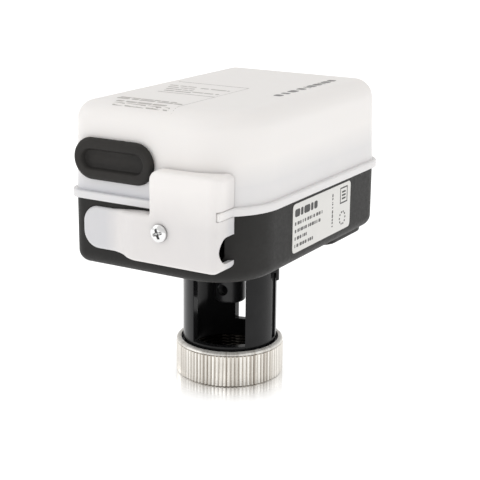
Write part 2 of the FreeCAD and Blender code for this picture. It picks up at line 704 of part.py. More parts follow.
def snap_ring():
    top = SNAP_BOTTOM + SNAP_HEIGHT
    ring = tube(SNAP_OUTER_R, SNAP_INNER_R, 0, 0, SNAP_BOTTOM, top)
    return ring.cut(box(-SNAP_GAP / 2, -SNAP_OUTER_R - 1, SNAP_BOTTOM - 1, SNAP_GAP / 2, 0, top + 1))


def ring_nut():
    body = rod(RING_R, 0, 0, 0, RING_HEIGHT)
    body = body.makeChamfer(RING_CHAMFER, level_edges(body, RING_HEIGHT))
    thread = rod(RING_THREAD_R, 0, 0, 0, RING_THREAD_LENGTH)
    relief = rod(RING_RELIEF_R, 0, 0, RING_THREAD_LENGTH, RING_RELIEF_TOP)
    return body.cut([thread, relief, rod(RING_LIP_R, 0, 0, RING_RELIEF_TOP, RING_HEIGHT)])


def guide_bush():
    sleeve = rod(BUSH_R - SEAT, 0, 0, YOKE_PLATE, FLOOR_TOP + 2)
    flange = rod(BUSH_FLANGE_R, 0, 0, FLOOR_TOP, FLOOR_TOP + BUSH_FLANGE_THICK)
    return join([sleeve, flange]).cut(rod(STEM_R + FIT, 0, 0, YOKE_PLATE, FLOOR_TOP + 3))


def stem():
    body = rod(STEM_R, 0, 0, STEM_BOTTOM, STEM_TOP)
    body = body.makeChamfer(STEM_CHAMFER, level_edges(body, STEM_TOP))
    return body.cut(guide_pin())


def stem_coupling():
    drum = rod(COUPLING_R, 0, 0, COUPLING_BOTTOM, COUPLING_SHOULDER)
    drum = drum.makeFillet(COUPLING_FILLET, level_edges(drum, COUPLING_BOTTOM))
    drum = drum.makeChamfer(COUPLING_FILLET / 2, level_edges(drum, COUPLING_SHOULDER))
    neck = rod(COUPLING_NECK_R, 0, 0, COUPLING_SHOULDER - 1, COUPLING_TOP)
    socket = rod(SOCKET_R, 0, 0, COUPLING_BOTTOM, COUPLING_BOTTOM + SOCKET_DEPTH)
    cross_hole = rod_back(CROSS_HOLE_R, 0, CROSS_HOLE_Z, -COUPLING_R, COUPLING_R)
    return join([drum, neck]).cut([socket, cross_hole, rod(STEM_R, 0, 0, STEM_BOTTOM, COUPLING_TOP)])


def guide_pin():
    return Part.makeCylinder(GUIDE_PIN_R, 2 * GUIDE_PIN_HALF, V(-GUIDE_PIN_HALF, 0, GUIDE_PIN_Z), RIGHT)


def guide_tube():
    """Slotted tube that lets the stem's pin slide but not turn."""
    journal_room = NUT_JOURNAL_R + GUIDE_JOURNAL_CLEARANCE
    body = tube(GUIDE_R, GUIDE_BORE_R, 0, 0, PLATE_TOP, GUIDE_TOP)
    flange = tube(GUIDE_FLANGE_R, GUIDE_BORE_R, 0, 0, PLATE_TOP, PLATE_TOP + GUIDE_FLANGE_THICK)
    nut_room = rod(journal_room, 0, 0, PLATE_TOP, PLATE_TOP + 1.2)
    slot_half = GUIDE_PIN_R + 0.1
    slot = box(-GUIDE_R - 1, -slot_half, PLATE_TOP + 3, GUIDE_R + 1, slot_half, GUIDE_TOP - 3)
    return join([body, flange]).cut([nut_room, slot])


def gear_plate(z, bores):
    plate = slab(*PLATE_BOX, PLATE_CORNER, z, z + PLATE_THICK)
    holes = [rod(NUT_JOURNAL_R + FIT, 0, 0, z, z + PLATE_THICK)]
    holes += [rod(SHAFT_R + 0.01, x, y, z, z + PLATE_THICK) for x, y in (SLOW_AT, FAST_AT)]
    holes += [rod(PILLAR_SCREW_R + 0.1, x, y, z, z + PLATE_THICK) for x, y in PILLAR_SPOTS]
    holes += [rod(radius, x, y, z, z + PLATE_THICK) for x, y, radius in bores]
    return plate.cut(holes)


def motor_screw_spots():
    return [polar(MOTOR_AT, MOTOR_SCREW_CIRCLE, angle) for angle in MOTOR_SCREW_ANGLES]


def upper_gear_plate():
    bores = [(*MOTOR_AT, MOTOR_PILOT_R)]
    bores += [(x, y, MOTOR_SCREW_R + 0.1) for x, y in motor_screw_spots()]
    return gear_plate(UPPER_PLATE, bores)


def plate_pillars():
    bottom = LOWER_PLATE + PLATE_THICK
    return group(tube(PILLAR_R, PILLAR_SCREW_R + 0.1, x, y, bottom, UPPER_PLATE) for x, y in PILLAR_SPOTS)


def plate_screws():
    screws = []
    for x, y in PILLAR_SPOTS:
        shank = rod(PILLAR_SCREW_R, x, y, LOWER_PLATE - 4, PLATE_TOP + 1)
        head = rod(PILLAR_SCREW_HEAD_R, x, y, PLATE_TOP, PLATE_TOP + SCREW_HEAD_HEIGHT)
        screws.append(join([shank, head]))
    return group(screws)


def gear_shafts():
    return group(rod(SHAFT_R, x, y, LOWER_PLATE, PLATE_TOP) for x, y in (SLOW_AT, FAST_AT))


def thrust_washers():
    low = LOWER_PLATE + PLATE_THICK
    return group(tube(WASHER_R, NUT_JOURNAL_R + 0.1, 0, 0, bottom, bottom + WASHER_THICK)
                 for bottom in (low, UPPER_PLATE - WASHER_THICK))


def gear(centre, module, teeth, tooth_at, z0, z1):
    """Spur gear with one tooth centred on the direction tooth_at, in degrees."""
    pitch_r = module * teeth / 2
    base_r = pitch_r * math.cos(math.radians(PRESSURE_ANGLE))
    tip_r = pitch_r + ADDENDUM * module
    root_r = pitch_r - DEDENDUM * module
    flank_start = max(root_r, base_r)

    def involute(radius):
        angle = math.acos(min(1, base_r / radius))
        return math.tan(angle) - angle

    half_at_pitch = module * (math.pi / 2 - BACKLASH) / 2 / pitch_r
    flank = []
    for radius in (flank_start, (flank_start + pitch_r) / 2, pitch_r, (pitch_r + tip_r) / 2, tip_r):
        flank.append((radius, half_at_pitch + involute(pitch_r) - involute(radius)))
    if root_r < base_r:
        flank.insert(0, (root_r, flank[0][1]))
    points = []
    for tooth in range(teeth):
        middle = math.radians(tooth_at) + 2 * math.pi * tooth / teeth
        side = [(radius, middle - half) for radius, half in flank]
        side += [(radius, middle + half) for radius, half in reversed(flank)]
        points += [(centre[0] + r * math.cos(a), centre[1] + r * math.sin(a)) for r, a in side]
    return polygon(points, z0, z1)


def gap_direction(towards, teeth):
    """Tooth direction that puts a gap towards the other gear."""
    return towards + 180 + 180 / teeth


def drive_nut_gear():
    low = LOWER_PLATE + PLATE_THICK + WASHER_THICK + 0.1
    high = UPPER_PLATE - WASHER_THICK - 0.1
    rim = gear((0, 0), NUT_MODULE, NUT_TEETH, NUT_TO_SLOW, *NUT_RIM)
    recess_r, web_r, depth = NUT_RECESS
    recess = tube(recess_r, web_r, 0, 0, NUT_RIM[1] - depth, NUT_RIM[1])
    collar = rod(NUT_COLLAR_R, 0, 0, low, high)
    journal = rod(NUT_JOURNAL_R, 0, 0, LOWER_PLATE - END_PLAY, PLATE_TOP + 2 * END_PLAY)
    body = join([rim.cut(recess), collar, journal])
    return body.cut(rod(STEM_R + FIT, 0, 0, LOWER_PLATE - 1, PLATE_TOP + 1))


def compound_gear(at, pinion_module, pinion_to, pinion_span, wheel_module, wheel_tooth, wheel_span):
    """Pinion and wheel on one hub, running on a fixed shaft."""
    low = LOWER_PLATE + PLATE_THICK + END_PLAY
    high = UPPER_PLATE - END_PLAY
    pinion = gear(at, pinion_module, PINION_TEETH, gap_direction(pinion_to, PINION_TEETH), *pinion_span)
    wheel = gear(at, wheel_module, WHEEL_TEETH, wheel_tooth, *wheel_span)
    body = join([pinion, wheel, rod(HUB_R, at[0], at[1], low, high)])
    return body.cut(rod(SHAFT_R + FIT, at[0], at[1], low - 1, high + 1))


def slow_gear():
    return compound_gear(SLOW_AT, NUT_MODULE, NUT_TO_SLOW, SLOW_PINION, SLOW_MODULE, SLOW_TO_FAST, SLOW_WHEEL)


def fast_gear():
    return compound_gear(FAST_AT, SLOW_MODULE, SLOW_TO_FAST, FAST_PINION,
                         FAST_MODULE, FAST_TO_MOTOR, FAST_WHEEL)


def motor_can():
    x, y = MOTOR_AT
    floor = MOTOR_BOTTOM + MOTOR_FLOOR
    can = rod(MOTOR_R, x, y, MOTOR_BOTTOM, MOTOR_TOP)
    can = can.makeFillet(MOTOR_EDGE, level_edges(can, MOTOR_TOP))
    inside = rod(MOTOR_R - MOTOR_WALL, x, y, floor, MOTOR_TOP - MOTOR_WALL)
    top_bearing = rod(MOTOR_BEARING_R + 0.5, x, y, MOTOR_TOP - 4, MOTOR_TOP - 1)
    holes = [rod(MOTOR_BEARING_R, x, y, MOTOR_BOTTOM, floor)]
    holes.append(rod(MOTOR_SHAFT_R + FIT, x, y, MOTOR_TOP - 4, MOTOR_TOP - 2))
    holes += [rod(MOTOR_SCREW_R + SEAT, sx, sy, MOTOR_BOTTOM, floor) for sx, sy in motor_screw_spots()]
    return join([can.cut(inside), top_bearing]).cut(holes)


def motor_bearing():
    return tube(MOTOR_BEARING_R - SEAT, MOTOR_SHAFT_R + FIT, *MOTOR_AT, MOTOR_BOTTOM, MOTOR_BOTTOM + 3)


def motor_stator():
    outer = MOTOR_R - MOTOR_WALL - 0.1
    return tube(outer, ROTOR_R + 1, *MOTOR_AT, MOTOR_BOTTOM + STATOR_END_SPACE, MOTOR_TOP - STATOR_END_SPACE)


def motor_rotor():
    shaft = rod(MOTOR_SHAFT_R, *MOTOR_AT, MOTOR_PINION[0] - 0.6, MOTOR_TOP - 2.5)
    return join([shaft, rod(ROTOR_R, *MOTOR_AT, MOTOR_BOTTOM + ROTOR_END_SPACE, MOTOR_TOP - ROTOR_END_SPACE)])


def motor_pinion():
    bottom, top = MOTOR_PINION
    teeth = gear(MOTOR_AT, FAST_MODULE, PINION_TEETH, gap_direction(FAST_TO_MOTOR, PINION_TEETH), bottom, top)
    return teeth.cut(rod(MOTOR_SHAFT_R, *MOTOR_AT, bottom, top))


def motor_screws():
    screws = []
    for x, y in motor_screw_spots():
        shank = rod(MOTOR_SCREW_R, x, y, UPPER_PLATE - 1, MOTOR_BOTTOM + MOTOR_FLOOR - 0.2)
        screws.append(join([shank, rod(MOTOR_SCREW_HEAD_R, x, y, UPPER_PLATE - 1.9, UPPER_PLATE)]))
    return group(screws)


def limit_switches():
    """Two snap switches beside the guide tube, one at each end of the pin's travel."""
    switches = []
    for z in (GUIDE_PIN_Z + 1, GUIDE_PIN_Z - STROKE - 1):
        x0, y0, x1, y1 = SWITCH_BOX
        case = box(x0, y0, z - SWITCH_HALF_HEIGHT, x1, y1, z + SWITCH_HALF_HEIGHT)
        x0, y0, x1, y1 = SWITCH_BUTTON
        button = box(x0, y0, z - SWITCH_BUTTON_HALF_HEIGHT, x1, y1, z + SWITCH_BUTTON_HALF_HEIGHT)
        switches.append(join([case, button]))
    return group(switches)


def switch_bracket():
    left = SWITCH_BOX[2]
    half = BRACKET_HALF_WIDTH
    wall = box(left, -half, PLATE_TOP, left + BRACKET_THICK, half, GUIDE_PIN_Z + 6)
    foot = box(left, -half, PLATE_TOP, BRACKET_FOOT_END, half, PLATE_TOP + BRACKET_THICK)
    return join([wall, foot])


def circuit_board():
    board = polygon(BOARD_OUTLINE, BOARD_Z, BOARD_TOP)
    return board.cut([rod(BOARD_SCREW_R + FIT, x, y, BOARD_Z, BOARD_TOP) for x, y in BOARD_SPOTS])


def board_posts():
    """Two tall posts on the floor of the base, and two short ones on the upper gear plate."""
    stands = [(x, y, BOARD_POST_FOOT) for x, y in BOARD_FRONT_SPOTS]
    stands += [(x, y, PLATE_TOP) for x, y in BOARD_REAR_SPOTS]
    return group(tube(BOARD_POST_R, BOARD_SCREW_R + SEAT, x, y, foot, BOARD_Z) for x, y, foot in stands)


def board_screws():
    screws = []
    for x, y in BOARD_SPOTS:
        shank = rod(BOARD_SCREW_R, x, y, BOARD_Z - BOARD_SCREW_LENGTH, BOARD_TOP + 1)
        screws.append(join([shank, rod(BOARD_SCREW_HEAD_R, x, y, BOARD_TOP, BOARD_TOP + 1.6)]))
    return group(screws)


def terminal_spots():
    return [TERMINAL_FIRST_WAY + TERMINAL_PITCH * way for way in range(TERMINAL_WAYS)]


def terminal_block():
    x0, y0, x1, y1 = TERMINAL_BOX
    top = BOARD_TOP + TERMINAL_HEIGHT
    ways = [rod_back(TERMINAL_WIRE_R, x, TERMINAL_WIRE_Z, y0, y0 + 5) for x in terminal_spots()]
    wells = [rod(TERMINAL_WELL_R, x, TERMINAL_SCREW_Y, TERMINAL_WELL_FLOOR, top) for x in terminal_spots()]
    return box(x0, y0, BOARD_TOP, x1, y1, top).cut(ways + wells)


def terminal_screws():
    low = TERMINAL_WELL_FLOOR
    return group(rod(TERMINAL_WELL_R - 0.1, x, TERMINAL_SCREW_Y, low, low + 3) for x in terminal_spots())


def cable_clamp():
    x0, y0, x1, y1 = CLAMP_BAR
    bar = box(x0, y0, CLAMP_BAR_BOTTOM, x1, y1, CLAMP_BAR_BOTTOM + CLAMP_THICK)
    feet = [box(x, y0, FLOOR_TOP, x + CLAMP_THICK, y1, CLAMP_BAR_BOTTOM) for x in (x0, x1 - CLAMP_THICK)]
    return join([bar] + feet)


def relays():
    width, depth, height = RELAY_SIZE
    return group(box(x, RELAY_FRONT, BOARD_TOP, x + width, RELAY_FRONT + depth, BOARD_TOP + height)
                 for x in RELAY_LEFTS)


def capacitor():
    x, y = CAPACITOR_END
    return Part.makeCylinder(CAPACITOR_R, CAPACITOR_LENGTH, V(x, y, BOARD_TOP + CAPACITOR_R + 0.1), RIGHT)


def dip_switch():
    """Switch that sets how the actuator responds: a case with a row of small levers."""
    x0, y0, x1, y1 = DIP_BOX
    top = BOARD_TOP + DIP_HEIGHT
    case = box(x0, y0, BOARD_TOP, x1, y1, top)
    window = box(x0 + DIP_RIM, y0 + 1.5 * DIP_RIM, top - DIP_RIM, x1 - DIP_RIM, y1 - 1.5 * DIP_RIM, top)
    levers = []
    for way in range(DIP_LEVERS):
        left = x0 + 1.5 * DIP_RIM + DIP_PITCH * way
        levers.append(box(left, y0 + 2, top - DIP_RIM, left + 1, y1 - 3, top + 0.2))
    return join([case.cut(window)] + levers)


NODES = {
    "base_housing": base_housing,
    "lid_gasket": lid_gasket,
    "lid": lid,
    "lid_screws": lid_screws,
    "lid_plug": lid_plug,
    "terminal_cover": terminal_cover,
    "terminal_cover_screw": terminal_cover_screw,
    "rating_label": rating_label,
    "yoke": yoke,
    "yoke_screws": yoke_screws,
    "snap_ring": snap_ring,
    "ring_nut": ring_nut,
    "guide_bush": guide_bush,
    "stem": stem,
    "stem_coupling": stem_coupling,
    "guide_pin": guide_pin,
    "guide_tube": guide_tube,
    "lower_gear_plate": lambda: gear_plate(LOWER_PLATE, []),
    "upper_gear_plate": upper_gear_plate,
    "plate_pillars": plate_pillars,
    "plate_screws": plate_screws,
    "gear_shafts": gear_shafts,
    "thrust_washers": thrust_washers,
    "drive_nut_gear": drive_nut_gear,
    "slow_gear": slow_gear,
    "fast_gear": fast_gear,
    "motor_can": motor_can,
    "motor_bearing": motor_bearing,
    "motor_stator": motor_stator,
    "motor_rotor": motor_rotor,
    "motor_pinion": motor_pinion,
    "motor_screws": motor_screws,
    "limit_switches": limit_switches,
    "switch_bracket": switch_bracket,
    "circuit_board": circuit_board,
    "board_posts": board_posts,
    "board_screws": board_screws,
    "terminal_block": terminal_block,
    "terminal_screws": terminal_screws,
    "cable_clamp": cable_clamp,
    "relays": relays,
    "capacitor": capacitor,
    "dip_switch": dip_switch,
}


def main():
    os.makedirs("parts", exist_ok=True)
    for name, make in NODES.items():
        shape = make()
        if not shape.isValid():
            raise ValueError(name + " is not a valid solid")
        shape.exportStep("parts/" + name + ".step")
        box_size = shape.BoundBox
        print(name, len(shape.Solids), round(shape.Volume / 1000, 2), "cm3",
              [round(v, 1) for v in (box_size.XMin, box_size.YMin, box_size.ZMin,
                                     box_size.XMax, box_size.YMax, box_size.ZMax)])


main()
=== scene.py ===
import json
import math
import random

import bmesh
import bpy
from mathutils import Matrix, Vector
from mathutils.bvhtree import BVHTree


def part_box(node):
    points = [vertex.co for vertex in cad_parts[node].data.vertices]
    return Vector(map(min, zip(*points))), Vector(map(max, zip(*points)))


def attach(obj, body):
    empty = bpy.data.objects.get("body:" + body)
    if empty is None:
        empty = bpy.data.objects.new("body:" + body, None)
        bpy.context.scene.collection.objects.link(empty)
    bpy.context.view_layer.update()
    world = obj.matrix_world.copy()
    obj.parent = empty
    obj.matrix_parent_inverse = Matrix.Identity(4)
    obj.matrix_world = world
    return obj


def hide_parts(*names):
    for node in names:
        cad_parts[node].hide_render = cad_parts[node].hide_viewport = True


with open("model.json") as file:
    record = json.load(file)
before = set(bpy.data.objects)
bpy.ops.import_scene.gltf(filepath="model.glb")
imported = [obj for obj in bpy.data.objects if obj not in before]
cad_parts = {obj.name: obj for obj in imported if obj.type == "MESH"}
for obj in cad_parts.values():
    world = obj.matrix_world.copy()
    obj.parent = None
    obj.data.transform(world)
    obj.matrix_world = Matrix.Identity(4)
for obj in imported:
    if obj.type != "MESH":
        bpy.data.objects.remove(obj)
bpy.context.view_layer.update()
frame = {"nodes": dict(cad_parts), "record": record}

MM = 0.001
MICRON = 0.000001

# The view: where the camera stands, the point that it looks at, and its lens
VIEW_AZIMUTH = 30.3
VIEW_ELEVATION = 15.83
VIEW_ROLL = 0.55
VIEW_DISTANCE = 0.58335
VIEW_TARGET = Vector((-4.48, 16.37, 57.82)) * MM
LENS = 92.49
SENSOR = 36.0

# Ring nut, in mm
RING_R = 24.98
FLUTES = 84
FLUTE_COLUMNS = 6                       # columns of points across one flute
FLUTE_DEPTH = 0.6
FLUTE_FOOT = 0.45
FLUTE_HEAD = 14.4
FOOT_BORE_R = 22.9                      # opening in the underside
# Radius and height of the groove over the flutes, the bevelled rim, the lip and the relief under it
RIM_PROFILE = (
    (24.15, 14.7), (24.15, 14.85), (24.85, 14.95), (24.92, 15.1), (24.66, 15.68), (24.34, 15.98),
    (23.7, 16.2), (22.72, 16.29), (22.63, 16.2), (22.63, 13.9), (23.5, 13.8), (23.5, 10.1), (22.7, 10.0),
)
THREAD_PITCH = 1.5
THREAD_CREST = 21.7
THREAD_DEPTH = 0.85
THREAD_STEP = 0.25                      # height between two rows of points
THREAD_ROWS = 39
BORE_R = 22.64                          # inside this radius the nickel gets painted shade
GROOVE_TOP = (14.8, 15.0)               # heights between which the flutes' painted shade gives way to the rim's painted highlight
SATIN_TOP = (15.6, 16.1)                # heights between which the rim turns from polished to satin

# Cover screw, in mm; the turn of its recess is in degrees
SCREW_COLUMNS = 96
HEAD_RINGS = 44                         # rings of points over the head's face
HEAD_FACE = 0.965                       # share of the head's radius that its face takes up
HEAD_DOME = 0.85
HEAD_HEIGHT = 2.2
SCREW_CREST = 1.88
SCREW_THREAD_DEPTH = 0.38
SCREW_PITCH = 0.7
SCREW_STEP = 0.175
RECESS_TURN = 20
RECESS_DEPTH = 1.5
RECESS_ARM = (0.62, 0.22)               # half width at the face, and how much of it is sloping wall
RECESS_REACH = (2.35, 0.5)              # how far an arm reaches, and the length of its sloping end
RECESS_BOWL = (1.15, 0.5)               # radius of the middle, and the width of its sloping wall

# Plug, in mm: its sections run from the hollow at the back, round the neck and the rim, into the dish
PLUG_EDGE = 2.0
PLUG_EDGE_STEPS = 8
# Each point is an inset, and a distance: behind the wall, in from the back, behind the wall, behind the front
PLUG_HOLLOW = (4.4, 1.0)
PLUG_NECK_BACK = ((4.2, 0.3), (3.9, 0.0), (3.2, 0.0), (2.7, 0.8), (2.45, 1.8))
PLUG_NECK_ROOT = ((2.45, 0.4), (2.45, -0.1), (0.35, -0.1))
PLUG_DISH = ((3.6, 0.0), (4.1, 0.05), (4.5, 0.3), (5.1, 1.7), (5.35, 2.1), (5.9, 2.3), (7.0, 2.25))

# Print, in mm
PRINT_THICK = 0.02
LINE_PIECE = 1.5
LABEL_MARGIN = 1.8
LABEL_BARS = ((1.8, 4.6), (7.2, 2.2), (10.2, 5.6), (16.6, 2.2), (19.6, 3.2))     # start and length
LABEL_BAR_SPAN = (5.9, 2.5)             # foot and head of those bars, down from the label's top edge
LABEL_ROWS = (26.0, 25.0, 12.0, 17.5)   # lengths
LABEL_ROW_TOP = 9.6                     # first row, down from the top edge
LABEL_ROW_PITCH = 3.3
LABEL_ROW_HEIGHT = 1.5
LABEL_SIDE_ROW = (37.4, 3.4, 15.5, 1.2)             # across, up, length, height
LABEL_FRAME = (10.8, 9.3, 7.6)          # in from the rear edge, down from the top edge, side
LABEL_FRAME_LINE = 0.65
FRAME_BARS = 3
FRAME_BAR = (1.9, 1.8, 3.8, 0.85)       # first bar from the frame's corner: across, up, length, height
FRAME_BAR_PITCH = 1.55
LABEL_DOTS = 10
LABEL_DOT_R = 0.55
LABEL_DOT_RING = (8.0, 5.6, 2.9)        # in from the rear edge, up from the bottom edge, radius
LID_STRIP = (24.6, -7.0, 57.5, 3.9)                 # across, up, length, height
LID_DASHES = {"shortest": 1.5, "longest": 5.0}      # in row heights
LID_LINES = ((-30.8, 4.1, 6.4, 4.8), (6.1, -57.8, 6.4, 4.1), (-22.8, -24.8, 6.1, -23.9))

# Bands over which the painted light and shade on the milky plastics change: two places along an axis, in mm
LID_HEIGHT_BAND = (92, 116)
LID_RIGHT_BAND = (-6, 24)
LID_TONGUE_BAND = (-58, -65)
LID_FLANGE_BAND = (93.8, 94.4)
LID_LEFT_BAND = (-41, -35)
COVER_HEIGHT_BAND = (86, 103)
COVER_TAB_BAND = (-6, -24)
COVER_SIDE_BAND = (-62, -58)

# Light: the floor glows evenly, apart from a patch round the ring nut with a painted shadow close in, then
# shiny (distances in mm)
FLOOR_GLOW = 0.82
SHINE_GLOW = 0.36
SHINE = 0.85
SHADOW_BAND = (20, 27)
SHINE_BAND = (27, 40)
TINT_START = 26                         # the patch keeps its brightest reflection up to here
SHADOW_SHIFT = 5                        # how far the patch's middle lies in front of the ring nut's axis
WORLD_GLOW = 0.80
FLOOR_SIZE = 6.0
LIT_POINT = Vector((0, 0, 0.07))        # the softboxes face this point
SOFTBOX_DISTANCE = 1.1
SOFTBOXES = (                           # name, azimuth, elevation, width, height, power
    ("top_box", 10, 80, 1.0, 1.0, 0.7),
    ("left_box", -50, 30, 0.5, 0.9, 1.3),
    ("right_box", 95, 25, 0.5, 0.9, 0.3),
)


# ---------------------------------------------------------------- materials

class Nodes:
    """Small helper that adds and links shader nodes."""

    def __init__(self, name):
        self.material = bpy.data.materials.new(name)
        self.material.use_nodes = True
        self.tree = self.material.node_tree
        self.shader = self.tree.nodes["Principled BSDF"]
        self.place = self.add("ShaderNodeTexCoord").outputs["Object"]

    def add(self, kind, **settings):
        node = self.tree.nodes.new(kind)
        for key, value in settings.items():
            setattr(node, key, value)
        return node

    def link(self, source, target):
        self.tree.links.new(source, target)

    def set(self, **values):
        names = {
            "colour": "Base Color", "metallic": "Metallic", "roughness": "Roughness", "ior": "IOR",
            "coat": "Coat Weight", "specular": "Specular IOR Level", "emission": "Emission Color",
            "subsurface": "Subsurface Weight", "subsurface_radius": "Subsurface Radius",
            "subsurface_scale": "Subsurface Scale",
        }
        for key, value in values.items():
            self.shader.inputs[names[key]].default_value = value
        return self

    def noise(self, scale, detail=3.0, roughness=0.55, vector=None):
        node = self.add("ShaderNodeTexNoise")
        node.inputs["Scale"].default_value = scale
        node.inputs["Detail"].default_value = detail
        node.inputs["Roughness"].default_value = roughness
        self.link(vector or self.place, node.inputs["Vector"])
        return node.outputs["Fac"]

    def math(self, operation, *values):
        """Arithmetic on sockets and plain numbers."""
        node = self.add("ShaderNodeMath", operation=operation)
        for socket, value in zip(node.inputs, values):
            if isinstance(value, (int, float)):
                socket.default_value = value
            else:
                self.link(value, socket)
        return node.outputs["Value"]

    def stretched(self, scale):
        """Object coordinates, stretched by a scale along each axis."""
        node = self.add("ShaderNodeMapping")
        node.inputs["Scale"].default_value = scale
        self.link(self.place, node.inputs["Vector"])
        return node.outputs["Vector"]

    def remap(self, value, low, high, from_low=0.3, from_high=0.7):
        node = self.add("ShaderNodeMapRange")
        node.inputs["From Min"].default_value = from_low
        node.inputs["From Max"].default_value = from_high
        node.inputs["To Min"].default_value = low
        node.inputs["To Max"].default_value = high
        self.link(value, node.inputs["Value"])
        return node.outputs["Result"]

    def band(self, value, low, high, limits):
        """A value from low to high, between two places given in mm."""
        return self.remap(value, low, high, limits[0] * MM, limits[1] * MM)

    def ramp(self, value, stops):
        node = self.add("ShaderNodeValToRGB")
        elements = node.color_ramp.elements
        while len(elements) < len(stops):
            elements.new(0.5)
        for element, (position, colour) in zip(elements, stops):
            element.position = position
            element.color = (*colour, 1.0)
        self.link(value, node.inputs["Fac"])
        return node.outputs["Color"]

    def bump(self, height, strength, distance, normal=None):
        node = self.add("ShaderNodeBump")
        node.inputs["Strength"].default_value = strength
        node.inputs["Distance"].default_value = distance
        self.link(height, node.inputs["Height"])
        if normal is not None:
            self.link(normal, node.inputs["Normal"])
        return node.outputs["Normal"]


def tinted(colour, factor):
    return tuple(min(1.0, channel * factor) for channel in colour)


def moulded(name, colour, roughness, grain, depth, spread=0.06, **extra):
    """Moulded plastic: slight mottling, uneven gloss and a fine spark-eroded grain."""
    n = Nodes(name).set(roughness=roughness, **extra)
    cloud = n.noise(90, 4)
    n.link(n.ramp(cloud, [(0.3, tinted(colour, 1 - spread)), (0.7, tinted(colour, 1 + spread))]),
           n.shader.inputs["Base Color"])
    gloss = n.noise(380, 5, 0.65)
    n.link(n.remap(gloss, roughness - 0.05, roughness + 0.06), n.shader.inputs["Roughness"])
    fine = n.noise(grain, 4, 0.6)
    n.link(n.bump(fine, 1.0, depth), n.shader.inputs["Normal"])
    return n.material


def metal(name, colour, roughness, stretch=(1, 1, 1), scratch=2500, depth=4 * MICRON):
    """Machined or plated metal with faint directional marks and patches of uneven polish."""
    n = Nodes(name).set(metallic=1.0, roughness=roughness)
    cloud = n.noise(140, 3)
    n.link(n.ramp(cloud, [(0.3, tinted(colour, 0.93)), (0.7, tinted(colour, 1.04))]),
           n.shader.inputs["Base Color"])
    marks = n.noise(scratch, 3, 0.7, n.stretched(stretch))
    n.link(n.remap(marks, roughness * 0.75, roughness * 1.35), n.shader.inputs["Roughness"])
    n.link(n.bump(marks, 0.6, depth), n.shader.inputs["Normal"])
    return n.material


def bright_steel():
    """Turned steel with painted shade down in its recesses."""
    n = Nodes("bright_steel_turned").set(metallic=1.0, roughness=0.2)
    # Ambient occlusion sets the colour: painted shade in the cross recess
    shade = n.add("ShaderNodeAmbientOcclusion", samples=8)
    shade.inputs["Distance"].default_value = 1.6 * MM
    cloud = n.remap(n.noise(140, 3), -0.04, 0.04)
    n.link(n.ramp(n.math("ADD", shade.outputs["AO"], cloud),
                  [(0.30, (0.05, 0.05, 0.052)), (0.62, (0.42, 0.42, 0.42)), (0.92, (0.80, 0.80, 0.80))]),
           n.shader.inputs["Base Color"])
    marks = n.noise(2500, 3, 0.7, n.stretched((0.2, 0.2, 6)))
    n.link(n.remap(marks, 0.15, 0.27), n.shader.inputs["Roughness"])
    n.link(n.bump(marks, 0.6, 4 * MICRON), n.shader.inputs["Normal"])
    return n.material


def plug_rubber():
    """Matt rubber with painted shade down in its dish, and painted light that makes the open rim greyer."""
    n = Nodes("plug_rubber_matt").set(roughness=0.6, specular=0.32)
    # Ambient occlusion sets the colour: painted shade in the dish, painted light on the open rim
    shade = n.add("ShaderNodeAmbientOcclusion", samples=8)
    shade.inputs["Distance"].default_value = 4 * MM
    cloud = n.remap(n.noise(120, 4), -0.12, 0.12)
    n.link(n.ramp(n.math("ADD", shade.outputs["AO"], cloud),
                  [(0.35, (0.0045, 0.0042, 0.0040)), (0.75, (0.0118, 0.0107, 0.0097)),
                   (1.0, (0.0190, 0.0170, 0.0152))]), n.shader.inputs["Base Color"])
    n.link(n.remap(n.noise(380, 5, 0.65), 0.54, 0.66), n.shader.inputs["Roughness"])
    n.link(n.bump(n.noise(4200, 4, 0.6), 1.0, 22 * MICRON), n.shader.inputs["Normal"])
    return n.material


def bevelled(n, radius, height, strength, distance):
    """Fine grain on top of edges that are softened by a small radius."""
    soft = n.add("ShaderNodeBevel", samples=6)
    soft.inputs["Radius"].default_value = radius
    return n.bump(height, strength, distance, soft.outputs["Normal"])


def base_plastic():
    """Dark plastic with a coarse and a fine spark-eroded grain."""
    n = Nodes("base_plastic_grain").set(roughness=0.5, ior=1.46, specular=0.26)
    cloud = n.noise(60, 4)
    n.link(n.ramp(cloud, [(0.3, (0.0155, 0.0148, 0.0140)), (0.7, (0.0205, 0.0197, 0.0186))]),
           n.shader.inputs["Base Color"])
    gloss = n.noise(500, 5, 0.65)
    n.link(n.remap(gloss, 0.44, 0.58), n.shader.inputs["Roughness"])
    coarse = n.noise(2300, 4, 0.6)
    fine = n.noise(7000, 2, 0.6)
    grain = bevelled(n, 0.4 * MM, coarse, 1.0, 30 * MICRON)
    n.link(n.bump(fine, 0.6, 12 * MICRON, grain), n.shader.inputs["Normal"])
    return n.material


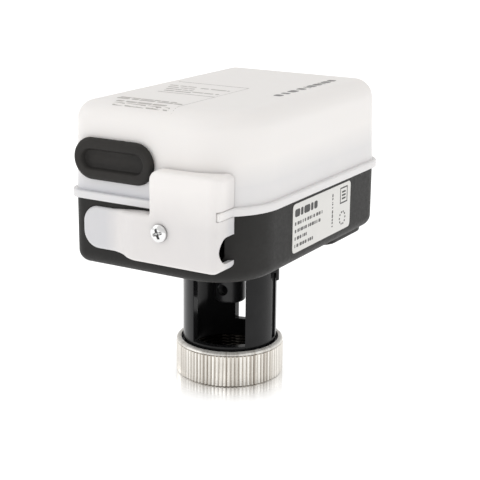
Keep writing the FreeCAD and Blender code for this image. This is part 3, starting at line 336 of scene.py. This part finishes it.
def lid_plastic():
    """Milky translucent plastic with painted shade, a little greyer and bluer low down, and painted light on
    its right part, tongue, flange and left edge.
    """
    n = Nodes("lid_plastic_milky").set(roughness=0.38, ior=1.46, subsurface=0.3,
                                       subsurface_radius=(1.0, 0.95, 0.9), subsurface_scale=0.003)
    split = n.add("ShaderNodeSeparateXYZ")
    n.link(n.place, split.inputs["Vector"])
    # Painted shade low down; painted light on the right part, the tongue, the flange and the left edge
    height = n.band(split.outputs["Z"], 0.0, 0.8, LID_HEIGHT_BAND)
    right = n.band(split.outputs["X"], 0.0, 0.34, LID_RIGHT_BAND)
    tongue = n.band(split.outputs["Y"], 0.0, 1.0, LID_TONGUE_BAND)
    flange = n.band(split.outputs["Z"], 0.24, 0.0, LID_FLANGE_BAND)
    left = n.band(split.outputs["X"], 0.24, 0.0, LID_LEFT_BAND)
    sides = n.math("MAXIMUM", left, n.math("ADD", right, n.math("MULTIPLY", right, tongue)))
    place = n.math("MAXIMUM", n.math("MAXIMUM", height, flange), sides)
    mixed = n.math("MULTIPLY_ADD", n.noise(38, 3), 0.12, place)
    stops = [(0.08, (0.630, 0.638, 0.676)), (0.42, (0.800, 0.785, 0.782)), (0.74, (0.905, 0.876, 0.856))]
    n.link(n.ramp(mixed, stops), n.shader.inputs["Base Color"])
    gloss = n.noise(260, 4)
    n.link(n.remap(gloss, 0.33, 0.44), n.shader.inputs["Roughness"])
    n.link(bevelled(n, 0.5 * MM, n.noise(3800, 3), 0.5, 6 * MICRON), n.shader.inputs["Normal"])
    return n.material


def cover_plastic():
    """Thin milky plastic with painted shade: greyer low down and towards the rear of its sides, most of all
    on its tab, which lies close over the dark base.
    """
    n = Nodes("cover_plastic_satin").set(roughness=0.4, ior=1.46, subsurface=0.2,
                                         subsurface_radius=(1.0, 0.98, 0.96), subsurface_scale=0.002)
    split = n.add("ShaderNodeSeparateXYZ")
    n.link(n.place, split.inputs["Vector"])
    # Painted shade low down, on the tab and towards the rear of the sides
    low = n.band(split.outputs["Z"], 0.34, 0.0, COVER_HEIGHT_BAND)
    tab = n.band(split.outputs["X"], 0.0, 0.62, COVER_TAB_BAND)
    side = n.band(split.outputs["Y"], 0.0, 0.22, COVER_SIDE_BAND)
    grey = n.math("ADD", n.math("MAXIMUM", low, tab), side)
    mixed = n.math("MULTIPLY_ADD", n.noise(70, 3), 0.16, grey)
    stops = [(0.08, (0.90, 0.872, 0.855)), (0.42, (0.765, 0.742, 0.735)), (0.72, (0.650, 0.650, 0.672))]
    n.link(n.ramp(mixed, stops), n.shader.inputs["Base Color"])
    n.link(n.remap(n.noise(300, 4), 0.36, 0.46), n.shader.inputs["Roughness"])
    n.link(bevelled(n, 0.4 * MM, n.noise(5200, 3), 0.5, 6 * MICRON), n.shader.inputs["Normal"])
    return n.material


def yoke_plastic():
    """Glossy black plastic with faint flow lines up and down."""
    n = Nodes("yoke_plastic_gloss").set(roughness=0.15, ior=1.47, specular=0.2)
    n.link(n.ramp(n.noise(120, 4), [(0.3, (0.0100, 0.0100, 0.0105)), (0.7, (0.0140, 0.0140, 0.0146))]),
           n.shader.inputs["Base Color"])
    drawn = n.noise(420, 4, 0.6, n.stretched((1, 1, 0.08)))
    n.link(n.remap(drawn, 0.10, 0.22), n.shader.inputs["Roughness"])
    n.link(bevelled(n, 0.35 * MM, drawn, 0.6, 20 * MICRON), n.shader.inputs["Normal"])
    return n.material


def board_material():
    """Green solder mask over a pattern of copper tracks."""
    n = Nodes("board_green_mask").set(roughness=0.3, coat=0.4)
    tracks = n.add("ShaderNodeTexBrick")
    tracks.inputs["Scale"].default_value = 160
    tracks.inputs["Mortar Size"].default_value = 0.06
    tracks.inputs["Color1"].default_value = (0.012, 0.13, 0.05, 1)
    tracks.inputs["Color2"].default_value = (0.016, 0.16, 0.06, 1)
    tracks.inputs["Mortar"].default_value = (0.03, 0.25, 0.09, 1)
    n.link(n.place, tracks.inputs["Vector"])
    n.link(tracks.outputs["Color"], n.shader.inputs["Base Color"])
    n.link(n.bump(tracks.outputs["Fac"], 0.4, 30 * MICRON), n.shader.inputs["Normal"])
    return n.material


def nickel():
    """Bright nickel: painted shade in the flutes and the bore, painted reflection streaks up and down all
    round, a painted highlight and a satin top on the rim.
    """
    n = Nodes("nickel_plate_bright").set(metallic=1.0, roughness=0.24)
    split = n.add("ShaderNodeSeparateXYZ")
    n.link(n.place, split.inputs["Vector"])
    flat = n.add("ShaderNodeCombineXYZ")
    n.link(split.outputs["X"], flat.inputs["X"])
    n.link(split.outputs["Y"], flat.inputs["Y"])
    outward = n.add("ShaderNodeVectorMath", operation="NORMALIZE")
    n.link(flat.outputs["Vector"], outward.inputs[0])
    radius = n.add("ShaderNodeVectorMath", operation="LENGTH")
    n.link(flat.outputs["Vector"], radius.inputs[0])
    # Painted reflection: broad and narrow streaks up and down, changing all round the ring
    broad = n.noise(5.5, 3, 0.6, outward.outputs["Vector"])
    narrow = n.noise(34, 3, 0.75, outward.outputs["Vector"])
    # Painted shade in the flute valleys, and a painted highlight on the rim band
    crest = n.band(radius.outputs["Value"], 0.42, 1.0, (RING_R - FLUTE_DEPTH, RING_R - 0.1))
    rim = n.band(split.outputs["Z"], 0.0, 1.15, GROOVE_TOP)
    ridge = n.math("MAXIMUM", crest, rim)
    # Painted shade inside the bore
    lit = n.band(radius.outputs["Value"], 0.12, 1.0, (BORE_R, BORE_R + 0.1))
    painted_streaks = n.math("MULTIPLY", n.remap(narrow, 0.58, 1.12, 0.36, 0.62),
                    n.remap(broad, 0.72, 1.12, 0.38, 0.62))
    tone = n.math("MULTIPLY", n.math("MULTIPLY", ridge, lit), painted_streaks)
    stops = [(0.0, (0.02, 0.018, 0.016)), (0.25, (0.30, 0.265, 0.225)), (0.55, (0.60, 0.565, 0.515)),
             (1.0, (0.90, 0.88, 0.84))]
    n.link(n.ramp(tone, stops), n.shader.inputs["Base Color"])
    turned = n.noise(900, 3, 0.7, n.stretched((0.15, 0.15, 8)))
    polish = n.math("MULTIPLY_ADD", rim, 0.14, n.remap(turned, 0.17, 0.32))
    n.link(polish, n.shader.inputs["Roughness"])
    n.link(n.band(split.outputs["Z"], 1.0, 0.25, SATIN_TOP), n.shader.inputs["Metallic"])
    n.link(n.bump(turned, 0.4, 6 * MICRON), n.shader.inputs["Normal"])
    return n.material


def make_materials():
    steel = (0.66, 0.66, 0.67)
    return {
        "base_plastic": base_plastic(),
        "lid_plastic": lid_plastic(),
        "cover_plastic": cover_plastic(),
        "yoke_plastic": yoke_plastic(),
        "plug_rubber": plug_rubber(),
        "gasket_rubber": moulded("gasket_rubber_matt", (0.02, 0.02, 0.02), 0.7, 3000, 20 * MICRON),
        "label_film": moulded("label_film_satin", (0.735, 0.725, 0.700), 0.34, 5000, 4 * MICRON, 0.02),
        "nickel_plate": nickel(),
        "bright_steel": bright_steel(),
        "blackened_steel": moulded("coupling_black_satin", (0.012, 0.012, 0.013), 0.36, 1500, 15 * MICRON,
                                   0.12, specular=0.4),
        "zinc_steel": metal("zinc_steel_plated", steel, 0.34),
        "spring_steel": metal("spring_steel_dark", (0.28, 0.28, 0.3), 0.3),
        "bronze": metal("bronze_machined", (0.60, 0.39, 0.20), 0.28, (0.2, 0.2, 6)),
        "brass": metal("brass_machined", (0.72, 0.55, 0.26), 0.24, (0.2, 0.2, 6)),
        "gear_nylon": moulded("gear_nylon_satin", (0.76, 0.75, 0.69), 0.4, 3500, 8 * MICRON),
        "copper_winding": metal("copper_winding_enamel", (0.55, 0.25, 0.11), 0.3, (1, 1, 12), 700,
                                80 * MICRON),
        "magnet": moulded("magnet_ferrite", (0.05, 0.05, 0.055), 0.4, 2500, 10 * MICRON),
        "switch_plastic": moulded("switch_plastic_black", (0.02, 0.02, 0.02), 0.42, 3000, 10 * MICRON),
        "switch_red": moulded("switch_red_moulded", (0.40, 0.02, 0.02), 0.4, 3000, 10 * MICRON),
        "board_green": board_material(),
        "terminal_green": moulded("terminal_green_moulded", (0.04, 0.26, 0.09), 0.4, 3000, 10 * MICRON),
        "relay_case": moulded("relay_case_moulded", (0.015, 0.04, 0.16), 0.35, 3000, 10 * MICRON),
        "capacitor_can": metal("capacitor_can_drawn", (0.72, 0.72, 0.73), 0.26, (6, 0.2, 0.2)),
        "print_dark": moulded("print_ink_dark", (0.030, 0.029, 0.028), 0.45, 6000, 2 * MICRON, 0.15),
        "print_mid": moulded("print_ink_fine", (0.095, 0.092, 0.090), 0.45, 6000, 2 * MICRON, 0.15),
        "print_grey": moulded("print_ink_grey", (0.200, 0.195, 0.190), 0.45, 6000, 2 * MICRON, 0.15),
        "print_faint": moulded("print_ink_faint", (0.47, 0.44, 0.42), 0.45, 6000, 2 * MICRON, 0.12),
    }


def dress_nodes(materials):
    """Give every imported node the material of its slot."""
    slots = {part["node"]: part["material_slot"] for part in frame["record"]["subparts"]}
    for name, obj in frame["nodes"].items():
        obj.data.materials.clear()
        obj.data.materials.append(materials[slots[name]])


# ---------------------------------------------------------------- pieces

def centre_and_half(node):
    """Middle of a node's box, and half its size along each axis."""
    low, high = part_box(node)
    low, high = Vector(low), Vector(high)
    return (low + high) / 2, (high - low) / 2


def new_piece(name, vertices, faces, material, body):
    """Mesh object that rides a body, with its faces all turned outwards."""
    mesh = bpy.data.meshes.new(name)
    mesh.from_pydata(vertices, [], faces)
    shaped = bmesh.new()
    shaped.from_mesh(mesh)
    bmesh.ops.recalc_face_normals(shaped, faces=shaped.faces)
    shaped.to_mesh(mesh)
    shaped.free()
    mesh.materials.append(material)
    piece = bpy.data.objects.new(name, mesh)
    bpy.context.scene.collection.objects.link(piece)
    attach(piece, body)
    return piece


def smooth(piece, angle=35):
    """Smooth shading, apart from edges sharper than an angle."""
    piece.data.shade_smooth()
    piece.data.set_sharp_from_angle(angle=math.radians(angle))


def loft_faces(rows, columns, closed=False):
    """Quads between rows of points that each run once round."""
    faces = []
    for row in range(rows if closed else rows - 1):
        below, above = row * columns, (row + 1) % rows * columns
        for column in range(columns):
            after = (column + 1) % columns
            faces.append((below + column, below + after, above + after, above + column))
    return faces


def triangle_wave(value):
    """0 at whole numbers, 1 half way between them."""
    return 1 - abs(2 * (value % 1) - 1)


def knurled_ring(materials):
    """Ring nut with straight flutes round it, a bevelled rim and a real thread inside."""
    columns = FLUTES * FLUTE_COLUMNS
    flute_r = RING_R - FLUTE_DEPTH

    def plain(radius, height):
        return [(radius, height)] * columns

    def fluted(share, height):
        """Row with flutes cut to a share of their depth; without them it lies at their bottom."""
        row = []
        for column in range(columns):
            wave = 0.5 - 0.5 * math.cos(2 * math.pi * FLUTES * column / columns)
            row.append((RING_R - FLUTE_DEPTH * (1 - share + share * wave), height))
        return row

    def threaded(height):
        """Row through the thread, which climbs by one pitch in each turn."""
        row = []
        for column in range(columns):
            wave = triangle_wave(height / THREAD_PITCH + column / columns)
            row.append((THREAD_CREST + THREAD_DEPTH * min(1, max(0, 1.25 * wave - 0.125)), height))
        return row

    rows = [plain(FOOT_BORE_R, 0), plain(flute_r - 0.15, 0), fluted(0.0, 0.1), fluted(1.0, FLUTE_FOOT)]
    rows += [fluted(1.0, FLUTE_FOOT + (FLUTE_HEAD - FLUTE_FOOT) * step / 4) for step in range(1, 5)]
    rows.append(fluted(0.5, FLUTE_HEAD + 0.2))
    rows += [plain(radius, height) for radius, height in RIM_PROFILE]
    rows += [threaded(THREAD_STEP * step) for step in range(THREAD_ROWS, 0, -1)]
    vertices = []
    for row in rows:
        for column, (radius, height) in enumerate(row):
            turn = 2 * math.pi * column / columns
            vertices.append(Vector((radius * math.sin(turn), -radius * math.cos(turn), height)) * MM)
    piece = new_piece("knurled_ring_nut", vertices, loft_faces(len(rows), columns, closed=True),
                      materials["nickel_plate"], "ring")
    smooth(piece, 28)
    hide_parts("ring_nut")


def screw_recess(u, v):
    """Depth of the cross recess at a point on the head, in mm."""
    turn = math.radians(RECESS_TURN)
    a = abs(u * math.cos(turn) + v * math.sin(turn))
    b = abs(v * math.cos(turn) - u * math.sin(turn))
    along, across = max(a, b), min(a, b)

    def inside(place, edge):
        """1 well inside an edge, falling to 0 at it."""
        limit, slope = edge
        return min(1, max(0, (limit - place) / slope))

    arm = inside(across, RECESS_ARM) * inside(along, RECESS_REACH)
    return RECESS_DEPTH * max(arm * (1 - 0.25 * along), inside(math.hypot(a, b), RECESS_BOWL))


def cover_screw(materials):
    """Pan head screw with a cross recess and a rolled thread."""
    centre, half = centre_and_half("terminal_cover_screw")
    columns = SCREW_COLUMNS
    head_r = half.x / MM
    head_front = (centre.y - half.y) / MM
    tip = (centre.y + half.y) / MM
    seat = head_front + HEAD_HEIGHT
    rows = []
    for step in range(1, HEAD_RINGS + 1):
        radius = head_r * HEAD_FACE * step / HEAD_RINGS
        rows.append((radius, head_front + HEAD_DOME * (radius / head_r) ** 3))
    rows += [(head_r * 0.99, head_front + 1.0), (head_r, head_front + 1.3), (head_r, seat - 0.15),
             (head_r - 0.12, seat), (2.2, seat)]
    thread = [seat + 0.1 + SCREW_STEP * step for step in range(int((tip - seat - 1.2) / SCREW_STEP))]
    vertices = [Vector((0, head_front + screw_recess(0, 0), 0))]

    def spin(radius, depth, threaded=False):
        """Add one ring of points, sunk where it crosses the recess."""
        for column in range(columns):
            turn = 2 * math.pi * column / columns
            r = radius
            if threaded:
                r -= SCREW_THREAD_DEPTH * triangle_wave(depth / SCREW_PITCH + column / columns)
            u, v = r * math.cos(turn), r * math.sin(turn)
            sunk = screw_recess(u, v) if depth < head_front + 0.9 else 0
            vertices.append(Vector((u, depth + sunk, v)))

    for radius, depth in rows:
        spin(radius, depth)
    for depth in thread:
        spin(SCREW_CREST, depth, threaded=True)
    spin(1.3, tip - 0.6)
    spin(0.7, tip - 0.05)
    count = len(rows) + len(thread) + 2
    faces = [tuple(1 + index for index in face) for face in loft_faces(count, columns)]
    faces += [(0, 1 + column, 1 + (column + 1) % columns) for column in range(columns)]
    last = 1 + (count - 1) * columns
    faces.append(tuple(last + column for column in range(columns)))
    middle = Vector((centre.x, 0, centre.z))
    piece = new_piece("cover_screw", [middle + vertex * MM for vertex in vertices], faces,
                      materials["bright_steel"], "cover")
    smooth(piece, 40)
    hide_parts("terminal_cover_screw")


def stadium(centre, half, inset, depth, around=28):
    """Points round a long slot shape in the XZ plane, moved in by inset."""
    radius = half.z - inset
    reach = half.x - half.z
    points = []
    for side in (1, -1):
        for step in range(around + 1):
            turn = side * math.pi / 2 - math.pi * step / around
            points.append(Vector((centre.x + side * reach + radius * math.cos(turn), depth,
                                  centre.z + radius * math.sin(turn))))
    return points


def rubber_plug(materials):
    """Soft oval plug: rounded rim, dished face, and a neck with a hollow behind it."""
    centre, half = centre_and_half("lid_plug")
    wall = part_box("base_housing")[0][1]
    front = centre.y - half.y
    back = centre.y + half.y
    rim = PLUG_EDGE * MM
    rim_root = wall - 0.25 * MM
    profile = [(PLUG_HOLLOW[0] * MM, wall + PLUG_HOLLOW[1] * MM)]
    profile += [(inset * MM, back - depth * MM) for inset, depth in PLUG_NECK_BACK]
    profile += [(inset * MM, wall + depth * MM) for inset, depth in PLUG_NECK_ROOT]
    for step in range(PLUG_EDGE_STEPS + 1):
        turn = math.radians(90 * step / PLUG_EDGE_STEPS)
        profile.append((rim * (1 - math.cos(turn)), rim_root - (rim_root - front) * math.sin(turn)))
    profile += [(inset * MM, front + depth * MM) for inset, depth in PLUG_DISH]
    rows = [stadium(centre, half, inset, depth) for inset, depth in profile]
    columns = len(rows[0])
    vertices = [point for row in rows for point in row]
    faces = loft_faces(len(rows), columns)
    faces.append(tuple(range(columns)))
    faces.append(tuple(range(len(vertices) - columns, len(vertices))))
    piece = new_piece("rubber_plug", vertices, faces, materials["plug_rubber"], "plug")
    smooth(piece, 50)
    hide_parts("lid_plug")


class Print:
    """Thin flat marks on one face, placed by (across, up) in mm from the face's origin."""

    def __init__(self, origin, across, up):
        self.origin = origin
        self.across = across
        self.up = up
        self.out = across.cross(up)
        self.vertices = []
        self.faces = []

    def outline(self, points):
        """One raised mark with the given outline."""
        start = len(self.vertices)
        count = len(points)
        for height in (0, PRINT_THICK):
            for a, b in points:
                self.vertices.append(self.origin + (self.across * a + self.up * b + self.out * height) * MM)
        for index in range(count):
            after = (index + 1) % count
            self.faces.append((start + index, start + after, start + count + after, start + count + index))
        self.faces.append(tuple(range(start + count, start + 2 * count)))
        self.faces.append(tuple(reversed(range(start, start + count))))

    def line(self, a0, b0, a1, b1):
        """Long thin mark in short pieces, so that it can follow a curved face."""
        count = max(1, round(max(a1 - a0, b1 - b0) / LINE_PIECE))
        for step in range(count):
            start, end = step / count, (step + 1) / count
            if a1 - a0 > b1 - b0:
                here, there = a0 + (a1 - a0) * start, a0 + (a1 - a0) * end
                self.outline([(here, b0), (there, b0), (there, b1), (here, b1)])
            else:
                here, there = b0 + (b1 - b0) * start, b0 + (b1 - b0) * end
                self.outline([(a0, here), (a1, here), (a1, there), (a0, there)])

    def drape(self, node):
        """Lay the marks on a node's surface, sunk into it by as much as they stand out."""
        obj = frame["nodes"][node]
        corners = [obj.matrix_world @ vertex.co for vertex in obj.data.vertices]
        skin = BVHTree.FromPolygons(corners, [face.vertices[:] for face in obj.data.polygons])
        for index, vertex in enumerate(self.vertices):
            lift = (vertex - self.origin).dot(self.out)
            above = vertex + self.out * (10 * MM - lift)
            found = skin.ray_cast(above, -self.out)[0]
            self.vertices[index] = found + self.out * (2 * lift - PRINT_THICK * MM)

    def bar(self, a0, b0, a1, b1):
        corner = 0.2 * min(a1 - a0, b1 - b0)
        self.outline([(a0 + corner, b0), (a1 - corner, b0), (a1, b0 + corner), (a1, b1 - corner),
                      (a1 - corner, b1), (a0 + corner, b1), (a0, b1 - corner), (a0, b0 + corner)])

    def row(self, a, b, length, height, seed, upright=False, shortest=0.35, longest=1.5):
        """Row of dashes of uneven length, standing in for a line of small print."""
        draw = random.Random(seed)
        here = 0.0
        while here < length:
            dash = min(height * draw.uniform(shortest, longest), length - here)
            if dash > 0.3 * height:
                if upright:
                    self.bar(a, b + here, a + height, b + here + dash)
                else:
                    self.bar(a + here, b, a + here + dash, b + height)
            here += dash + height * draw.choice((0.28, 0.28, 0.7))

    def frame(self, a0, b0, a1, b1, width):
        self.bar(a0, b0, a1, b0 + width)
        self.bar(a0, b1 - width, a1, b1)
        self.bar(a0, b0 + width * 1.02, a0 + width, b1 - width * 1.02)
        self.bar(a1 - width, b0 + width * 1.02, a1, b1 - width * 1.02)

    def finish(self, name, material, body):
        return new_piece(name, self.vertices, self.faces, material, body)


def label_print(materials):
    """Generic marks on the rating label: a bold row, fine rows, framed bars and a ring of dots."""
    low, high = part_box("rating_label")
    origin = Vector((high[0], low[1], low[2]))
    width, height = (high[1] - low[1]) / MM, (high[2] - low[2]) / MM
    bold = Print(origin, Vector((0, 1, 0)), Vector((0, 0, 1)))
    for start, length in LABEL_BARS:
        bold.bar(start, height - LABEL_BAR_SPAN[0], start + length, height - LABEL_BAR_SPAN[1])
    rearward, down, side = LABEL_FRAME
    left, bottom = width - rearward, height - down
    bold.frame(left, bottom, left + side, bottom + side, LABEL_FRAME_LINE)
    across, up, length, thick = FRAME_BAR
    for step in range(FRAME_BARS):
        foot = bottom + up + FRAME_BAR_PITCH * step
        bold.bar(left + across, foot, left + across + length, foot + thick)
    rearward, up, ring_r = LABEL_DOT_RING
    for step in range(LABEL_DOTS):
        turn = 2 * math.pi * step / LABEL_DOTS
        a, b = width - rearward + ring_r * math.cos(turn), up + ring_r * math.sin(turn)
        eighths = [t * math.pi / 4 for t in range(8)]
        bold.outline([(a + LABEL_DOT_R * math.cos(t), b + LABEL_DOT_R * math.sin(t)) for t in eighths])
    bold.finish("label_bold_print", materials["print_dark"], "housing")
    fine = Print(origin, Vector((0, 1, 0)), Vector((0, 0, 1)))
    for line, length in enumerate(LABEL_ROWS):
        foot = height - LABEL_ROW_TOP - LABEL_ROW_PITCH * line
        fine.row(LABEL_MARGIN, foot, length, LABEL_ROW_HEIGHT, 11 + line)
    fine.row(*LABEL_SIDE_ROW, 21, upright=True)
    fine.finish("label_fine_print", materials["print_mid"], "housing")


def lid_print(materials):
    """Generic marks on the lid's top: a strip of bars near the right edge, and a panel of fine rows."""
    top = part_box("lid")[1][2]
    strip = Print(Vector((0, 0, top)), Vector((1, 0, 0)), Vector((0, 1, 0)))
    strip.row(*LID_STRIP, 5, upright=True)
    strip.drape("lid")
    strip.finish("lid_strip_print", materials["print_grey"], "housing")
    fine = Print(Vector((0, 0, top)), Vector((1, 0, 0)), Vector((0, 1, 0)))
    for corners in LID_LINES:
        fine.line(*corners)
    # A block of four short rows at the panel's rear left, and two single rows at its right
    for line in range(4):
        fine.row(-28.5 + 2.0 * line, -7.0 - 4.6 * line, 14.0, 1.7, 60 + line, **LID_DASHES)
    fine.row(-11.5, -8.2, 15.0, 1.7, 80, **LID_DASHES)
    fine.row(-9.0, -19.0, 13.5, 1.7, 81, **LID_DASHES)
    # Two pairs of long rows in front
    for line in range(2):
        fine.row(-27.5 + 3.5 * line, -48.9 - 8.0 * line, 32.5 - 4.5 * line, 2.0, 40 + line, **LID_DASHES)
        fine.row(-27.5 + 3.5 * line, -46.1 - 8.0 * line, 28.5 - 3.5 * line, 1.6, 50 + line, **LID_DASHES)
    fine.drape("lid")
    fine.finish("lid_fine_print", materials["print_faint"], "housing")


def make_pieces(materials):
    knurled_ring(materials)
    cover_screw(materials)
    rubber_plug(materials)
    label_print(materials)
    lid_print(materials)


# ---------------------------------------------------------------- stage

def look_at(obj, target, roll=0.0):
    back = (obj.location - target).normalized()
    right = Vector((0, 0, 1)).cross(back).normalized()
    up = back.cross(right)
    turn = math.radians(roll)
    right, up = right * math.cos(turn) + up * math.sin(turn), up * math.cos(turn) - right * math.sin(turn)
    obj.rotation_euler = Matrix((right, up, back)).transposed().to_euler()


def direction(azimuth, elevation):
    """Unit vector from the object towards a viewer; azimuth 0 is in front, 90 is at the right."""
    a, e = math.radians(azimuth), math.radians(elevation)
    return Vector((math.sin(a) * math.cos(e), -math.cos(a) * math.cos(e), math.sin(e)))


def make_camera():
    data = bpy.data.cameras.new("camera")
    data.lens = LENS
    data.sensor_width = SENSOR
    camera = bpy.data.objects.new("camera", data)
    bpy.context.scene.collection.objects.link(camera)
    camera.location = VIEW_TARGET + VIEW_DISTANCE * direction(VIEW_AZIMUTH, VIEW_ELEVATION)
    look_at(camera, VIEW_TARGET, VIEW_ROLL)
    bpy.context.scene.camera = camera


def softbox(name, azimuth, elevation, width, height, power):
    data = bpy.data.lights.new(name, "AREA")
    data.shape = "RECTANGLE"
    data.size = width
    data.size_y = height
    data.energy = power
    light = bpy.data.objects.new(name, data)
    bpy.context.scene.collection.objects.link(light)
    light.location = LIT_POINT + SOFTBOX_DISTANCE * direction(azimuth, elevation)
    look_at(light, LIT_POINT)


def make_floor():
    """Pale floor that glows evenly, apart from a patch round the ring nut: a painted shadow close in, then
    shiny.
    """
    middle = SHADOW_SHIFT * MM * direction(VIEW_AZIMUTH, 0)
    bpy.ops.mesh.primitive_plane_add(size=FLOOR_SIZE, location=middle)
    floor = bpy.context.object
    floor.name = "floor"
    n = Nodes("floor_pale").set(colour=(0.42, 0.42, 0.42, 1), specular=0.3, emission=(1, 1, 1, 1))
    length = n.add("ShaderNodeVectorMath", operation="LENGTH")
    n.link(n.place, length.inputs[0])
    distance = length.outputs["Value"]
    # The glow is cut out close round the ring nut: a painted shadow, its middle moved forwards
    under = n.band(distance, 0.0, SHINE_GLOW, SHADOW_BAND)
    beyond = n.band(distance, 0.0, FLOOR_GLOW - SHINE_GLOW, SHINE_BAND)
    n.link(n.math("ADD", under, beyond), n.shader.inputs["Emission Strength"])
    n.link(n.band(distance, SHINE, 0.0, SHINE_BAND), n.shader.inputs["Metallic"])
    tint = [(TINT_START * MM, (0.95, 0.95, 0.95)), (SHINE_BAND[1] * MM, (0.42, 0.42, 0.42))]
    n.link(n.ramp(distance, tint), n.shader.inputs["Base Color"])
    n.link(n.remap(n.noise(3), 0.10, 0.13), n.shader.inputs["Roughness"])
    floor.data.materials.append(n.material)


def make_stage():
    make_floor()
    world = bpy.data.worlds.new("studio")
    world.use_nodes = True
    world.node_tree.nodes["Background"].inputs["Color"].default_value = (1.0, 0.995, 0.985, 1)
    world.node_tree.nodes["Background"].inputs["Strength"].default_value = WORLD_GLOW
    bpy.context.scene.world = world
    for box in SOFTBOXES:
        softbox(*box)
    bpy.context.scene.view_settings.view_transform = "Standard"


materials = make_materials()
dress_nodes(materials)
make_pieces(materials)
make_camera()
make_stage()

bpy.context.view_layer.update()
